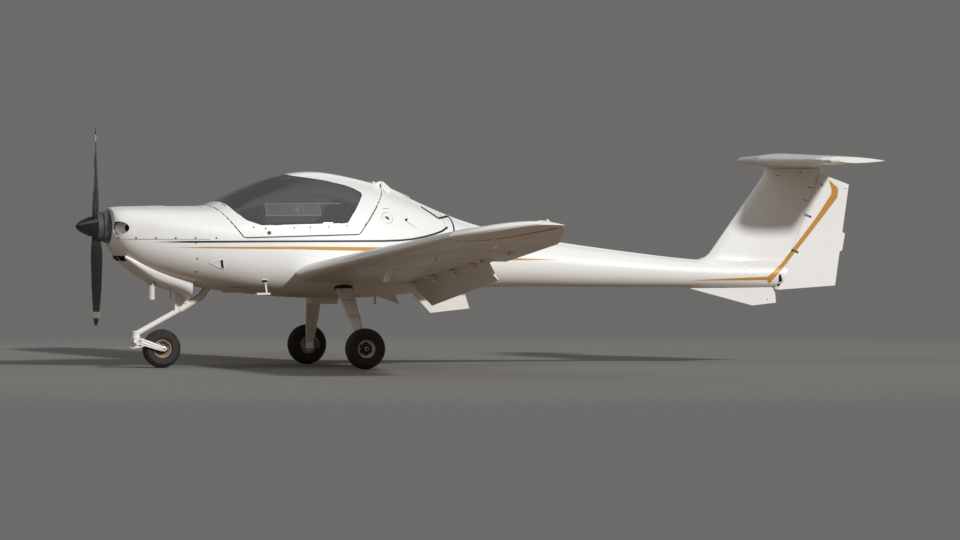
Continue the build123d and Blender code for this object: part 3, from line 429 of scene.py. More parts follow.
SIDE_LINE = [(-3.05, 1.107), (-1.90, 1.111), (-0.93, 1.112), (-0.773, 1.117), (-0.654, 1.127),
             (-0.534, 1.147), (-0.43, 1.170), (-0.347, 1.195), (-0.277, 1.231)]
DECK_LINE = [(-0.486, 1.411), (-0.346, 1.309), (-0.275, 1.318), (-0.229, 1.328), (-0.208, 1.310),
             (-0.209, 1.275), (-0.218, 1.192)]
HULL_BLACK = Livery(LINE_BLACK, polyline(SIDE_LINE, 0.0175, 0.4) + polyline(DECK_LINE, 0.017))
SWEEP_FOOT = (
    Stripe((2.042, 0.7485), (2.790, 0.7640), 0.003, 0.033, 0.1),
    Stripe((2.780, 0.7400), (2.923, 0.8745), 0.060, 0.038),
)
HULL_GOLD = Livery(LINE_GOLD, (
    Stripe((-2.92, 1.060), (-1.70, 1.053), 0.006, 0.026, 0.4),
    Stripe((-1.70, 1.053), (-0.86, 1.038), 0.026, 0.036),
    Stripe((0.30, 0.9455), (0.76, 0.9390), 0.022, 0.003),
) + SWEEP_FOOT)
TAIL_GOLD = Livery(LINE_GOLD, SWEEP_FOOT + (
    Stripe((2.918, 0.868), (3.153, 1.146), 0.038, 0.0435),
    Stripe((3.150, 1.142), (3.275, 1.2945), 0.0435, 0.046),
    Stripe((3.272, 1.290), (3.4445, 1.5155), 0.046, 0.067),
    Stripe((3.436, 1.500), (3.4415, 1.573), 0.064, 0.067),
    Stripe((3.4415, 1.560), (3.383, 1.645), 0.066, 0.006),
))


@dataclass(frozen=True)
class Gelcoat:
    """White gloss paint on laminate, a little uneven, with dust streaks, and darker and browner towards
    the bottom.
    """

    name: str
    colour: Colour = (0.80, 0.80, 0.785)
    liveries: tuple[Livery, ...] = ()
    grime: float = 0.10
    lined: bool = False
    inside: Colour = (0.20, 0.185, 0.165)
    axis_z: float = 1.15
    cabin: Pair = (-2.49, -0.78)
    cowl_x: float = -3.24

    def outer_side(self, shader: Shader) -> Value:
        """1 on the outer skin and 0 on the cabin's walls.

        Args:
            shader: the shader to add to.

        Returns:
            The share.
        """
        x, y, z = shader.axes()
        facing = shader.node("ShaderNodeSeparateXYZ", None,
                             {"Vector": shader.node("ShaderNodeTexCoord").outputs["Normal"]})
        ahead, side, up = (Value(shader, facing.outputs[i]) for i in range(3))
        outward = (y * side + (z - self.axis_z) * up).rise(-0.03, 0.0)
        low, high = self.cabin
        walls = 1.0 - abs(ahead).rise(0.8, 0.9) * (x > low)
        lined = (x > self.cowl_x) * (x < high)
        return 1.0 - lined * (1.0 - outward * walls)

    def build(self) -> bpy.types.Material:
        """Makes the material."""
        shader = Shader(self.name)
        x, _, z = shader.axes()
        cloud = shader.noise(1.1, 5.0)
        streak = shader.noise(9.0, 5.0, (0.35, 1.0, 2.2))
        # Darker and browner towards the bottom, below z 1.15, added to the random dust streaks.
        low = 1.0 - z.rise(0.45, 1.15)
        dust = (streak.rise(0.48, 0.82) * 0.5 + low * 0.5) * self.grime
        tone = shader.mix(cloud.rise(0.3, 0.75) * 0.22, self.colour,
                          tuple(c * k for c, k in zip(self.colour, (0.955, 0.95, 0.93))))
        tone = shader.mix(dust, tone, (0.40, 0.35, 0.28))
        for livery in self.liveries:
            tone = shader.mix(livery.cover(x, z), tone, livery.colour)
        if self.lined:
            tone = shader.mix(self.outer_side(shader), self.inside, tone)
        peel = shader.noise(160.0, 2.0)
        waves = shader.noise(4.0, 2.0)
        return shader.coat(Base_Color=tone, Roughness=streak * 0.12 + 0.34, Coat_Weight=0.25,
                           Coat_Roughness=0.05,
                           Normal=shader.bump(peel * 0.12 + waves, 0.0012, 0.35))


@dataclass(frozen=True)
class GlossPaint:
    """A plain gloss paint with fine dust and scratches."""

    name: str
    colour: Colour
    dust: Colour = (0.30, 0.27, 0.23)
    amount: float = 0.12
    roughness: float = 0.2

    def build(self) -> bpy.types.Material:
        """Makes the material."""
        shader = Shader(self.name)
        film = shader.noise(14.0, 5.0)
        scratch = shader.noise(60.0, 3.0, (0.2, 1.0, 4.0))
        tone = shader.mix(film.rise(0.45, 0.8) * self.amount, self.colour, self.dust)
        return shader.coat(Base_Color=tone,
                           Roughness=scratch.rise(0.5, 0.8) * 0.18 + self.roughness,
                           Coat_Weight=0.5, Coat_Roughness=0.08,
                           Normal=shader.bump(scratch, 0.0003, 0.3))


@dataclass(frozen=True)
class BladeLacquer:
    """Satin black blades with a pale band near each tip and patchy wear."""

    name: str = "blade_lacquer"
    bands: tuple[Pair, ...] = ((0.745, 0.80),)

    def build(self) -> bpy.types.Material:
        """Makes the material."""
        shader = Shader(self.name)
        _, _, z = shader.axes()
        reach = abs(z - SHAFT_Z)
        wear = shader.noise(35.0, 5.0)
        tone = shader.mix(wear.rise(0.4, 0.8) * 0.25, (0.022, 0.022, 0.024), (0.09, 0.085, 0.08))
        for low, high in self.bands:
            band = reach.rise(low - 0.001, low + 0.001) * (1.0 - reach.rise(high - 0.001, high + 0.001))
            tone = shader.mix(band, tone, (0.62, 0.60, 0.55))
        grit = shader.noise(220.0, 2.0)
        return shader.coat(Base_Color=tone, Roughness=wear * 0.2 + 0.3, Coat_Weight=0.3,
                           Coat_Roughness=0.15, Normal=shader.bump(grit, 0.0003, 0.3))


@dataclass(frozen=True)
class Acrylic:
    """Clear canopy glazing: it mirrors more at a grazing angle and has a faint haze."""

    name: str = "canopy_acrylic"
    tint: Colour = (0.13, 0.135, 0.135)
    least: float = 0.30

    def build(self) -> bpy.types.Material:
        """Makes the material."""
        shader = Shader(self.name)
        edge = shader.value("ShaderNodeFresnel", None, {"IOR": 1.5})
        haze = shader.noise(3.0, 4.0)
        smear = shader.noise(26.0, 3.0, (0.3, 1.0, 1.6))
        alpha = (edge * 0.85 + haze.rise(0.35, 0.8) * 0.05 + self.least).least(0.96)
        return shader.coat(Base_Color=shader.mix(haze, self.tint,
                                                 tuple(c * 1.15 for c in self.tint)),
                           Roughness=smear.rise(0.5, 0.9) * 0.06 + 0.025, Alpha=alpha,
                           Specular_IOR_Level=0.8, Coat_Weight=1.0, Coat_Roughness=0.02)


@dataclass(frozen=True)
class Rubber:
    """Worn tyre rubber with dust on the tread and rings moulded in the wall."""

    name: str
    centre: Triple
    radius: float
    colour: Colour = (0.012, 0.011, 0.011)

    def build(self) -> bpy.types.Material:
        """Makes the material."""
        shader = Shader(self.name)
        x, _, z = shader.axes()
        gap_x, gap_z = x - self.centre[0], z - self.centre[2]
        reach = (gap_x * gap_x + gap_z * gap_z).root()
        dust = shader.noise(22.0, 5.0)
        tread = reach.rise(self.radius * 0.93, self.radius)
        rings = (reach * 420.0).sine() * (1.0 - tread)
        tone = shader.mix(dust.rise(0.35, 0.75) * 0.22 + tread * 0.25, self.colour,
                          (0.085, 0.072, 0.058))
        grain = shader.noise(500.0, 2.0)
        return shader.coat(Base_Color=tone, Roughness=dust * 0.25 + 0.62,
                           Normal=shader.bump(rings * 0.25 + grain * 0.3, 0.0008, 0.6))


@dataclass(frozen=True)
class Metal:
    """Bare or plated metal with brushed streaks and grime."""

    name: str
    colour: Colour
    grime: Colour = (0.06, 0.05, 0.04)
    amount: float = 0.25
    roughness: float = 0.3
    metallic: float = 1.0

    def build(self) -> bpy.types.Material:
        """Makes the material."""
        shader = Shader(self.name)
        cloud = shader.noise(30.0, 6.0)
        streak = shader.noise(180.0, 3.0, (1.0, 0.15, 1.0))
        tone = shader.mix(cloud.rise(0.48, 0.78) * self.amount, self.colour, self.grime)
        tone = shader.mix(streak * 0.12, tone, (0.8, 0.8, 0.8))
        return shader.coat(Base_Color=tone, Metallic=self.metallic,
                           Roughness=cloud * 0.25 + self.roughness,
                           Normal=shader.bump(streak, 0.0002, 0.4))


@dataclass(frozen=True)
class Moulded:
    """Moulded plastic or crackle-finished sheet with a fine even grain."""

    name: str
    colour: Colour
    grain: float = 900.0
    depth: float = 0.0004
    roughness: float = 0.5

    def build(self) -> bpy.types.Material:
        """Makes the material."""
        shader = Shader(self.name)
        cloud = shader.noise(6.0, 4.0)
        grain = shader.value("ShaderNodeTexVoronoi", None,
                             {"Vector": shader.place(), "Scale": self.grain}, "Distance")
        pale = tuple(min(c * 1.5 + 0.02, 1.0) for c in self.colour)
        tone = shader.mix(cloud.rise(0.4, 0.8) * 0.4, self.colour, pale)
        return shader.coat(Base_Color=tone, Roughness=cloud * 0.15 + self.roughness,
                           Normal=shader.bump(grain, self.depth, 0.6))


@dataclass(frozen=True)
class Cloth:
    """Woven upholstery: two crossed rows of threads, faded in patches."""

    name: str
    warp: Colour
    weft: Colour
    thread: float = 0.0016

    def build(self) -> bpy.types.Material:
        """Makes the material."""
        shader = Shader(self.name)
        x, y, z = shader.axes()
        turns = 2 * math.pi / self.thread
        across = (y * turns).sine()
        along = ((x + z) * turns).sine()
        over = (across * along).rise(-0.6, 0.6)
        fade = shader.noise(7.0, 4.0)
        fuzz = shader.noise(1400.0, 2.0)
        tone = shader.mix(over, self.warp, self.weft)
        tone = shader.mix(fade.rise(0.35, 0.75) * 0.3, tone, (0.34, 0.31, 0.28))
        return shader.coat(Base_Color=tone, Roughness=fade * 0.1 + 0.82,
                           Sheen_Weight=0.25,
                           Normal=shader.bump(over + fuzz * 0.5, 0.0005, 0.7))


@dataclass(frozen=True)
class Glow:
    """A coloured lamp lens with a ribbed surface."""

    name: str
    colour: Colour

    def build(self) -> bpy.types.Material:
        """Makes the material."""
        shader = Shader(self.name)
        x, _, _ = shader.axes()
        ribs = (x * 900.0).sine()
        edge = shader.value("ShaderNodeFresnel", None, {"IOR": 1.45})
        deep = tuple(c * 0.35 for c in self.colour)
        tone = shader.mix(edge, self.colour, deep)
        return shader.coat(Base_Color=tone, Roughness=edge * 0.1 + 0.1, Coat_Weight=1.0,
                           Coat_Roughness=0.03, Normal=shader.bump(ribs, 0.0004, 0.4))


# =============================================================== mesh building
class Skin:
    """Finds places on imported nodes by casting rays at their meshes."""

    def __init__(self, frame: dict[str, Any], nodes: Sequence[str]) -> None:
        """Gathers the nodes' faces into one tree.

        Args:
            frame: the loaded frame.
            nodes: the names of the nodes that rays can meet.
        """
        points: list[Vector] = []
        faces: list[list[int]] = []
        for name in nodes:
            mesh = frame["nodes"][name].data
            start = len(points)
            points += [vertex.co.copy() for vertex in mesh.vertices]
            faces += [[start + i for i in polygon.vertices] for polygon in mesh.polygons]
        self.tree = BVHTree.FromPolygons(points, faces)

    def meet(self, start: Vector, way: Vector) -> Place:
        """Where a ray first meets the skin.

        Args:
            start: the ray's start.
            way: its direction.

        Returns:
            The point and its outward normal.
        """
        way = way.normalized()
        for nudge in (0.0, 0.0006, -0.0006, 0.003, -0.003, 0.008, -0.008):
            shift = Vector((nudge, nudge * 0.3, nudge * 0.7))
            point, normal, _, _ = self.tree.ray_cast(start + shift, way)
            if point is not None:
                break
        else:
            raise ValueError(f"no skin from {tuple(start)} towards {tuple(way)}")
        if normal.dot(way) > 0:
            normal = -normal
        return point, normal

    def side(self, x: float, z: float, side: int) -> Place:
        """The skin seen from port (-1) or starboard (1)."""
        return self.meet(Vector((x, side * 8.0, z)), Vector((0, -side, 0)))

    def top(self, x: float, y: float) -> Place:
        """The skin seen from above."""
        return self.meet(Vector((x, y, 4.0)), Vector((0, 0, -1)))

    def below(self, x: float, y: float) -> Place:
        """The skin seen from below."""
        return self.meet(Vector((x, y, -1.0)), Vector((0, 0, 1)))

    def both(self, points: Iterable[Pair]) -> list[Place]:
        """Places on both sides of the body.

        Args:
            points: each one's x and z.

        Returns:
            The port places, then the starboard ones.
        """
        points = list(points)
        return [self.side(x, z, side) for side in SIDES for x, z in points]

    def slice(self, middle: Vector, lean: float, angle: float) -> Place:
        """The skin on a plane across the body.

        Args:
            middle: a point on the centre line.
            lean: how far the plane moves aft for each metre up.
            angle: from 0 at port, over the top, to pi at starboard.

        Returns:
            The point and its normal.
        """
        way = Vector((lean * math.sin(angle), -math.cos(angle), math.sin(angle)))
        return self.meet(middle + way.normalized() * 3.0, -way)


def square_frame(normal: Vector) -> Matrix:
    """Axes with Z along a normal and X roughly aft.

    Args:
        normal: the wanted Z axis.

    Returns:
        The rotation.
    """
    up = normal.normalized()
    guide = Vector((1, 0, 0)) if abs(up.x) < 0.9 else Vector((0, 1, 0))
    first = (guide - up * guide.dot(up)).normalized()
    second = up.cross(first)
    return Matrix((first, second, up)).transposed()


@dataclass
class Piece:
    """One visible piece in the making: solids are added to it, then it is placed."""

    name: str
    finish: bpy.types.Material
    body: str = "airframe"
    slot: str = ""
    smooth: float = 38.0
    bm: Any = field(default_factory=bmesh.new)

    def __post_init__(self) -> None:
        """Takes the slot from the finish where none is given."""
        plain_name = self.finish.name.split(".")[0]
        self.slot = self.slot or SLOTS.get(plain_name, "white_paint")

    def rings(self, rings: Sequence[Sequence[Vector]], caps: bool = True, loop: bool = False) -> None:
        """Joins rings of points with quads.

        Args:
            rings: rings with the same number of points.
            caps: whether the two end rings are filled.
            loop: whether the last ring joins the first.
        """
        made = [[self.bm.verts.new(p) for p in ring] for ring in rings]
        pairs = list(zip(made, made[1:])) + ([(made[-1], made[0])] if loop else [])
        count = len(made[0])
        for first, second in pairs:
            for i in range(count):
                j = (i + 1) % count
                self.bm.faces.new((first[i], first[j], second[j], second[i]))
        if caps and not loop:
            self.bm.faces.new(list(reversed(made[0])))
            self.bm.faces.new(made[-1])

    def tube(self, points: Sequence[Any], radius: float | Sequence[float], sides: int = 10,
             loop: bool = False) -> None:
        """A round tube along points.

        Args:
            points: the tube's middle line.
            radius: one radius, or one for each point.
            sides: how many sides the tube has.
            loop: whether it closes on itself.
        """
        line = [Vector(p) for p in points]
        count = len(line)
        radii = [radius] * count if isinstance(radius, (int, float)) else list(radius)
        rings = []
        normal: Vector | None = None
        for i, point in enumerate(line):
            before = line[i - 1] if i or loop else point
            after = line[(i + 1) % count] if i < count - 1 or loop else point
            way = (after - before).normalized()
            if normal is None:
                normal = square_frame(way).col[0].copy()
            normal = (normal - way * normal.dot(way)).normalized()
            other = way.cross(normal)
            rings.append([point + (normal * math.cos(a) + other * math.sin(a)) * radii[i]
                          for a in angles(sides)])
        self.rings(rings, caps=not loop, loop=loop)

    def turned(self, profile: Sequence[Pair], centre: Any, axis: Any, sides: int = 40,
               loop: bool = False) -> None:
        """A turned solid.

        Args:
            profile: pairs of distance along the axis and radius.
            centre: the profile's zero.
            axis: the direction of the axis.
            sides: how many sides it has.
            loop: whether the profile closes on itself.
        """
        basis = square_frame(Vector(axis))
        centre = Vector(centre)
        rings = []
        for along, radius in profile:
            rings.append([centre + basis @ Vector((radius * math.cos(a), radius * math.sin(a), along))
                          for a in angles(sides)])
        self.rings(rings, caps=not loop, loop=loop)

    def stud(self, place: Place, radius: float, height: float, sides: int = 14,
             sink: float = 0.001) -> None:
        """A low domed head on a surface.

        Args:
            place: a point and its normal.
            radius: the head's radius.
            height: how far it stands proud.
            sides: how many sides it has.
            sink: how far it reaches into the surface.
        """
        profile = [(-sink, radius), (height * 0.35, radius), (height * 0.8, radius * 0.8),
                   (height, radius * 0.35)]
        self.turned(profile, place[0], place[1], sides)

    def studs(self, places: Iterable[Place], radius: float, height: float, sides: int = 14) -> None:
        """The same head at many places.

        Args:
            places: points and their normals.
            radius: each head's radius.
            height: how far each stands proud.
            sides: how many sides each has.
        """
        for place in places:
            self.stud(place, radius, height, sides)

    def prism(self, outline: Sequence[Any], depth: Any) -> None:
        """A plate from an outline and a sweep.

        Args:
            outline: the corners of one face.
            depth: the vector to the other face.
        """
        depth = Vector(depth)
        self.rings([[Vector(p) for p in outline], [Vector(p) + depth for p in outline]])

    def block(self, low: Any, high: Any, basis: Matrix | None = None, origin: Any = (0, 0, 0)) -> None:
        """A box between two corners.

        Args:
            low: its lowest corner.
            high: its highest corner.
            basis: axes that the corners are given in.
            origin: where those axes start.
        """
        basis = basis or Matrix.Identity(3)
        origin = Vector(origin)
        x0, y0, z0 = low
        x1, y1, z1 = high
        floor = [(x0, y0), (x1, y0), (x1, y1), (x0, y1)]
        self.rings([[origin + basis @ Vector((x, y, z)) for x, y in floor] for z in (z0, z1)])

    def patch(self, grid: Sequence[Sequence[Place]], proud: float,
              deep: float = 0.001) -> None:
        """A thin panel that follows a surface.

        Args:
            grid: rows of points and normals on the surface.
            proud: how far the panel stands off it.
            deep: how far its edge reaches in.
        """
        top = [[self.bm.verts.new(p + n * proud) for p, n in row] for row in grid]
        low = [[self.bm.verts.new(p - n * deep) for p, n in row] for row in grid]
        for upper, reverse in ((top, False), (low, True)):
            for first, second in zip(upper, upper[1:]):
                for i in range(len(first) - 1):
                    face = [first[i], first[i + 1], second[i + 1], second[i]]
                    self.bm.faces.new(face[::-1] if reverse else face)
        edge = ([(0, i) for i in range(len(grid[0]))]
                + [(i, -1) for i in range(1, len(grid))]
                + [(-1, i) for i in range(len(grid[0]) - 2, -1, -1)]
                + [(i, 0) for i in range(len(grid) - 2, 0, -1)])
        for (a, b), (c, d) in zip(edge, edge[1:] + edge[:1]):
            self.bm.faces.new((top[a][b], low[a][b], low[c][d], top[c][d]))

    def ribbon(self, places: Sequence[Place], width: float, proud: float,
               loop: bool = False) -> None:
        """A flat strip laid along a surface.

        Args:
            places: points and normals along its middle.
            width: the strip's width.
            proud: how far it stands off the surface.
            loop: whether it closes on itself.
        """
        rings = []
        count = len(places)
        for i, (point, normal) in enumerate(places):
            before = places[i - 1][0] if i or loop else point
            after = places[(i + 1) % count][0] if i < count - 1 or loop else point
            across = (after - before).cross(normal).normalized() * (width / 2)
            lift, sink = normal * proud, normal * -0.002
            rings.append([point + across + sink, point + across * 0.8 + lift,
                          point - across * 0.8 + lift, point - across + sink])
        self.rings(rings, caps=not loop, loop=loop)

    def side_ribbons(self, skin: Skin, points: Iterable[Pair], width: float, proud: float) -> None:
        """The same strip on both sides of the body.

        Args:
            skin: the surface it lies on.
            points: x and z along its middle.
            width: the strip's width.
            proud: how far it stands off the surface.
        """
        points = list(points)
        for side in SIDES:
            self.ribbon([skin.side(x, z, side) for x, z in points], width, proud)

    def bevel(self, width: float, segments: int = 2, angle: float = 40.0) -> None:
        """Rounds the sharp edges made so far.

        Args:
            width: the bevel's width.
            segments: its steps.
            angle: edges sharper than this are rounded.
        """
        self.bm.normal_update()
        edges = [e for e in self.bm.edges
                 if e.is_manifold and math.degrees(e.calc_face_angle(0)) > angle]
        bmesh.ops.bevel(self.bm, geom=edges, offset=width, segments=segments, profile=0.6,
                        affect="EDGES", clamp_overlap=True)

    def place(self) -> bpy.types.Object:
        """Turns the solids into an object that rides on its body."""
        bmesh.ops.recalc_face_normals(self.bm, faces=self.bm.faces)
        mesh = bpy.data.meshes.new(self.name)
        self.bm.to_mesh(mesh)
        self.bm.free()
        mesh.polygons.foreach_set("use_smooth", [True] * len(mesh.polygons))
        mesh.set_sharp_from_angle(angle=math.radians(self.smooth))
        made = bpy.data.objects.new(self.name, mesh)
        bpy.context.scene.collection.objects.link(made)
        mesh.materials.append(self.finish)
        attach(made, self.body)
        LOG.info("%s: %d faces on %s", self.name, len(mesh.polygons), self.body)
        return made


def place_all(*pieces: Piece) -> None:
    """Places pieces in the order given."""
    for piece in pieces:
        piece.place()


# ================================================================= the studio
@dataclass
class Studio:
    """Camera, floor, world and lamps."""

    floor_radius: float = 600.0
    clear_radius: float = 14.0
    backdrop: Colour = (0.150, 0.148, 0.144)
    ground: Colour = (0.235, 0.228, 0.216)
    bounce: Colour = (0.235, 0.165, 0.105)
    camera_place: Triple = (-18.67, -62.26, 1.65)
    camera_way: Triple = (0.2872, 0.9579, 0.0)
    camera_right: Triple = (0.9579, -0.2872, 0.0)
    focal: float = 7327.5
    offset: Pair = (12.1, -90.4)
    lens: float = 274.78
    sky: float = 0.29
    key: float = 2.80
    key_from: Triple = (0.30, -0.80, 0.43)
    fill: float = 0.30
    fill_from: Triple = (-0.75, -0.35, 0.75)

    def build(self) -> None:
        """Sets the whole studio up."""
        self.camera()
        self.world()
        self.floor()
        self.sun("key_light", self.key_from, self.key, 5.0)
        self.sun("fill_light", self.fill_from, self.fill, 40.0)
        bpy.context.scene.view_settings.view_transform = "Standard"

    def camera(self) -> None:
        """A long lens a little above the ground, ahead of the port wing."""
        data = bpy.data.cameras.new("camera")
        data.lens = self.lens
        data.sensor_width = 36.0
        data.clip_end = 2000.0
        made = bpy.data.objects.new("camera", data)
        bpy.context.scene.collection.objects.link(made)
        way = (Vector(self.camera_way) + Vector(self.camera_right) * (self.offset[0] / self.focal)
               + Vector((0, 0, 1)) * (self.offset[1] / self.focal))
        made.location = self.camera_place
        made.rotation_euler = way.to_track_quat("-Z", "Y").to_euler()
        bpy.context.scene.camera = made

    def world(self) -> None:
        """An even sky whose seen colour is the backdrop's."""
        shader = Shader("studio_world", sky=True)
        light, plain = (shader.node("ShaderNodeBackground", None, {"Color": colour, "Strength": power})
                        for colour, power in (((1.0, 1.0, 1.0), self.sky), (self.backdrop, 1.0)))
        mixed = shader.blend(shader.seen(), light, plain)
        shader.tree.links.new(mixed.outputs[0], shader.output.inputs[0])
        bpy.context.scene.world = shader.material

    def floor(self) -> None:
        """A wide flat floor that melts into the backdrop's colour."""
        shader = Shader("studio_floor")
        x, y, _ = shader.axes()
        reach = (x * x + y * y).root()
        lit, bounce = (shader.node("ShaderNodeBsdfDiffuse", None, {"Color": colour})
                       for colour in (self.ground, self.bounce))
        far = shader.node("ShaderNodeEmission", None, {"Color": self.backdrop, "Strength": 1.0})
        near = shader.blend(reach.rise(self.clear_radius * 0.5, self.clear_radius), lit, far)
        mixed = shader.blend(shader.seen(), bounce, near)
        shader.tree.links.new(mixed.outputs[0], shader.output.inputs[0])
        bm = bmesh.new()
        rings = []
        steps = 96
        for radius in (self.clear_radius * 0.5, self.clear_radius, self.floor_radius):
            rings.append([bm.verts.new((radius * math.cos(a), radius * math.sin(a), 0))
                          for a in angles(steps)])
        bm.faces.new(rings[0])
        for inner, outer in zip(rings, rings[1:]):
            for i in range(steps):
                j = (i + 1) % steps
                bm.faces.new((inner[i], outer[i], outer[j], inner[j]))
        mesh = bpy.data.meshes.new("studio_floor")
        bm.to_mesh(mesh)
        bm.free()
        mesh.materials.append(shader.material)
        made = bpy.data.objects.new("studio_floor", mesh)
        bpy.context.scene.collection.objects.link(made)

    def sun(self, name: str, source: Triple, strength: float, spread: float) -> None:
        """A wide soft lamp, the same over the whole floor.

        Args:
            name: the lamp's name.
            source: the direction it shines from.
            strength: its strength.
            spread: its angle in degrees.
        """
        data = bpy.data.lights.new(name, "SUN")
        data.energy = strength
        data.angle = math.radians(spread)
        made = bpy.data.objects.new(name, data)
        bpy.context.scene.collection.objects.link(made)
        made.rotation_euler = (-Vector(source)).to_track_quat("-Z", "Y").to_euler()


# ================================================================ the finishes
@dataclass
class Finishes:
    """Every material of the aircraft, made once."""

    def __post_init__(self) -> None:
        """Builds them all."""
        self.hull = Gelcoat("hull_paint", liveries=(HULL_BLACK, HULL_GOLD), grime=0.20,
                            lined=True).build()
        self.tail = Gelcoat("tail_paint", liveries=(TAIL_GOLD,), grime=0.10).build()
        self.white = Gelcoat("wing_paint", grime=0.16).build()
        self.frame = Gelcoat("canopy_frame_paint", grime=0.1, lined=True).build()
        self.gear = GlossPaint("gear_paint", (0.80, 0.79, 0.75), amount=0.15).build()
        self.black_gloss = GlossPaint("spinner_paint", (0.010, 0.010, 0.012), amount=0.05,
                                      roughness=0.07).build()
        self.spinner_base = GlossPaint("spinner_base_paint", (0.085, 0.085, 0.09), amount=0.2,
                                       roughness=0.32).build()
        self.blade = BladeLacquer().build()
        self.glass = Acrylic().build()
        self.window = Acrylic("storm_window_acrylic", (0.60, 0.63, 0.65), 0.22).build()
        self.steel = Metal("steel", (0.52, 0.51, 0.49)).build()
        self.screw = Metal("screw_heads", (0.035, 0.033, 0.032), roughness=0.6,
                           metallic=0.2).build()
        self.chrome = Metal("bright_metal", (0.78, 0.78, 0.77), amount=0.1, roughness=0.14).build()
        self.disc = Metal("brake_disc", (0.36, 0.35, 0.34), amount=0.35, roughness=0.3).build()
        self.cast = Metal("engine_casting", (0.16, 0.16, 0.165), roughness=0.45).build()
        self.pipe = Metal("exhaust_steel", (0.66, 0.64, 0.60), (0.34, 0.30, 0.26), 0.35, 0.5,
                          0.3).build()
        self.cream = GlossPaint("rim_paint", (0.66, 0.56, 0.42), (0.20, 0.15, 0.10), 0.35,
                                0.35).build()
        self.bronze = GlossPaint("nose_rim_paint", (0.34, 0.22, 0.14), (0.10, 0.07, 0.05), 0.4,
                                 0.4).build()
        self.panel = Moulded("panel_crackle", (0.030, 0.030, 0.032)).build()
        self.dark = Moulded("dark_plastic", (0.022, 0.022, 0.024), 500.0).build()
        self.seal = Moulded("rubber_seal", (0.016, 0.016, 0.016), 700.0, roughness=0.6).build()
        self.shellwork = Moulded("seat_shell_plastic", (0.26, 0.245, 0.22), 420.0).build()
        self.liner = Moulded("cabin_liner", (0.25, 0.23, 0.20), 260.0, 0.0006, 0.75).build()
        self.cloth = Cloth("seat_cloth", (0.085, 0.085, 0.095), (0.19, 0.18, 0.175)).build()
        self.carpet = Cloth("cabin_carpet", (0.035, 0.035, 0.038), (0.075, 0.072, 0.07),
                            0.004).build()
        self.webbing = Cloth("belt_webbing", (0.05, 0.05, 0.055), (0.10, 0.10, 0.11),
                             0.0024).build()
        # Near-black: painted shade for openings, slots and recesses, and the dial faces' own black.
        self.void = Moulded("black_of_painted_shade_and_dials", (0.006, 0.006, 0.006), 200.0, roughness=0.9).build()
        self.red = Glow("red_lens", (0.55, 0.012, 0.010)).build()
        self.green = Glow("green_lens", (0.010, 0.32, 0.10)).build()
        self.clear = Glow("clear_lens", (0.74, 0.72, 0.66)).build()
        self.knob_red = GlossPaint("red_knob", (0.42, 0.015, 0.012)).build()
        self.pale_ink = GlossPaint("dial_marks", (0.80, 0.80, 0.76), amount=0.02).build()
        self.screen = GlossPaint("radio_screen", (0.02, 0.045, 0.03), roughness=0.1).build()

    def dress(self, frame: dict[str, Any]) -> None:
        """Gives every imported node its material.

        Args:
            frame: the loaded frame.
        """
        sides = ("left", "right")
        plan = {
            "fuselage": self.hull, "upper_cowl": self.hull, "lower_cowl": self.hull,
            "canopy_frame": self.frame, "canopy_glass": self.glass, "deck_cover": self.white,
            "belly_strake": self.gear, "belly_housing": self.white, "ventral_fin": self.white,
            "fin": self.tail, "rudder": self.tail, "tailplane": self.white,
            "elevator": self.white, "canopy_hinge": self.gear, "engine_block": self.cast,
            "exhaust_pipe": self.pipe, "spinner": self.black_gloss, "propeller": self.blade,
            "brake_calipers": self.cast, "tie_down_eyes": self.steel, "entry_steps": self.gear,
            "belly_antenna": self.white, "pitot_mast": self.white, "nose_strut": self.gear,
            "nose_fork": self.gear, "nose_tyre": self.dark, "nose_rim": self.bronze,
            "instrument_panel": self.panel, "centre_console": self.dark,
            "seat_shells": self.shellwork, "seat_cushions": self.cloth,
            "back_cushions": self.cloth, "control_sticks": self.dark, "rudder_pedals": self.steel,
        }
        for side in sides:
            plan.update({side + "_wing": self.white, side + "_wing_tip": self.white,
                         side + "_flap": self.white, side + "_aileron": self.white,
                         side + "_flap_hinges": self.gear, side + "_gear_leg": self.gear,
                         side + "_tyre": self.dark, side + "_rim": self.cream})
        for name, node in frame["nodes"].items():
            finish = plan.get(name, self.white)
            if not node.material_slots:
                node.data.materials.append(finish)
            for slot in node.material_slots:
                slot.material = finish
            LOG.info("%s wears %s", name, finish.name)


# ================================================================= the cowling
def grid(rows: Iterable[float], columns: Iterable[float],
         find: Callable[[float, float], Place]) -> list[list[Place]]:
    """Finds a grid of places on a surface.

    Args:
        rows: the first coordinate's values.
        columns: the second's.
        find: gives a place from the two.

    Returns:
        Rows of places.
    """
    columns = list(columns)
    return [[find(u, v) for v in columns] for u in rows]


def spread(low: float, high: float, count: int) -> list[float]:
    """Evenly spaced values from low to high."""
    return [low + (high - low) * i / (count - 1) for i in range(count)]


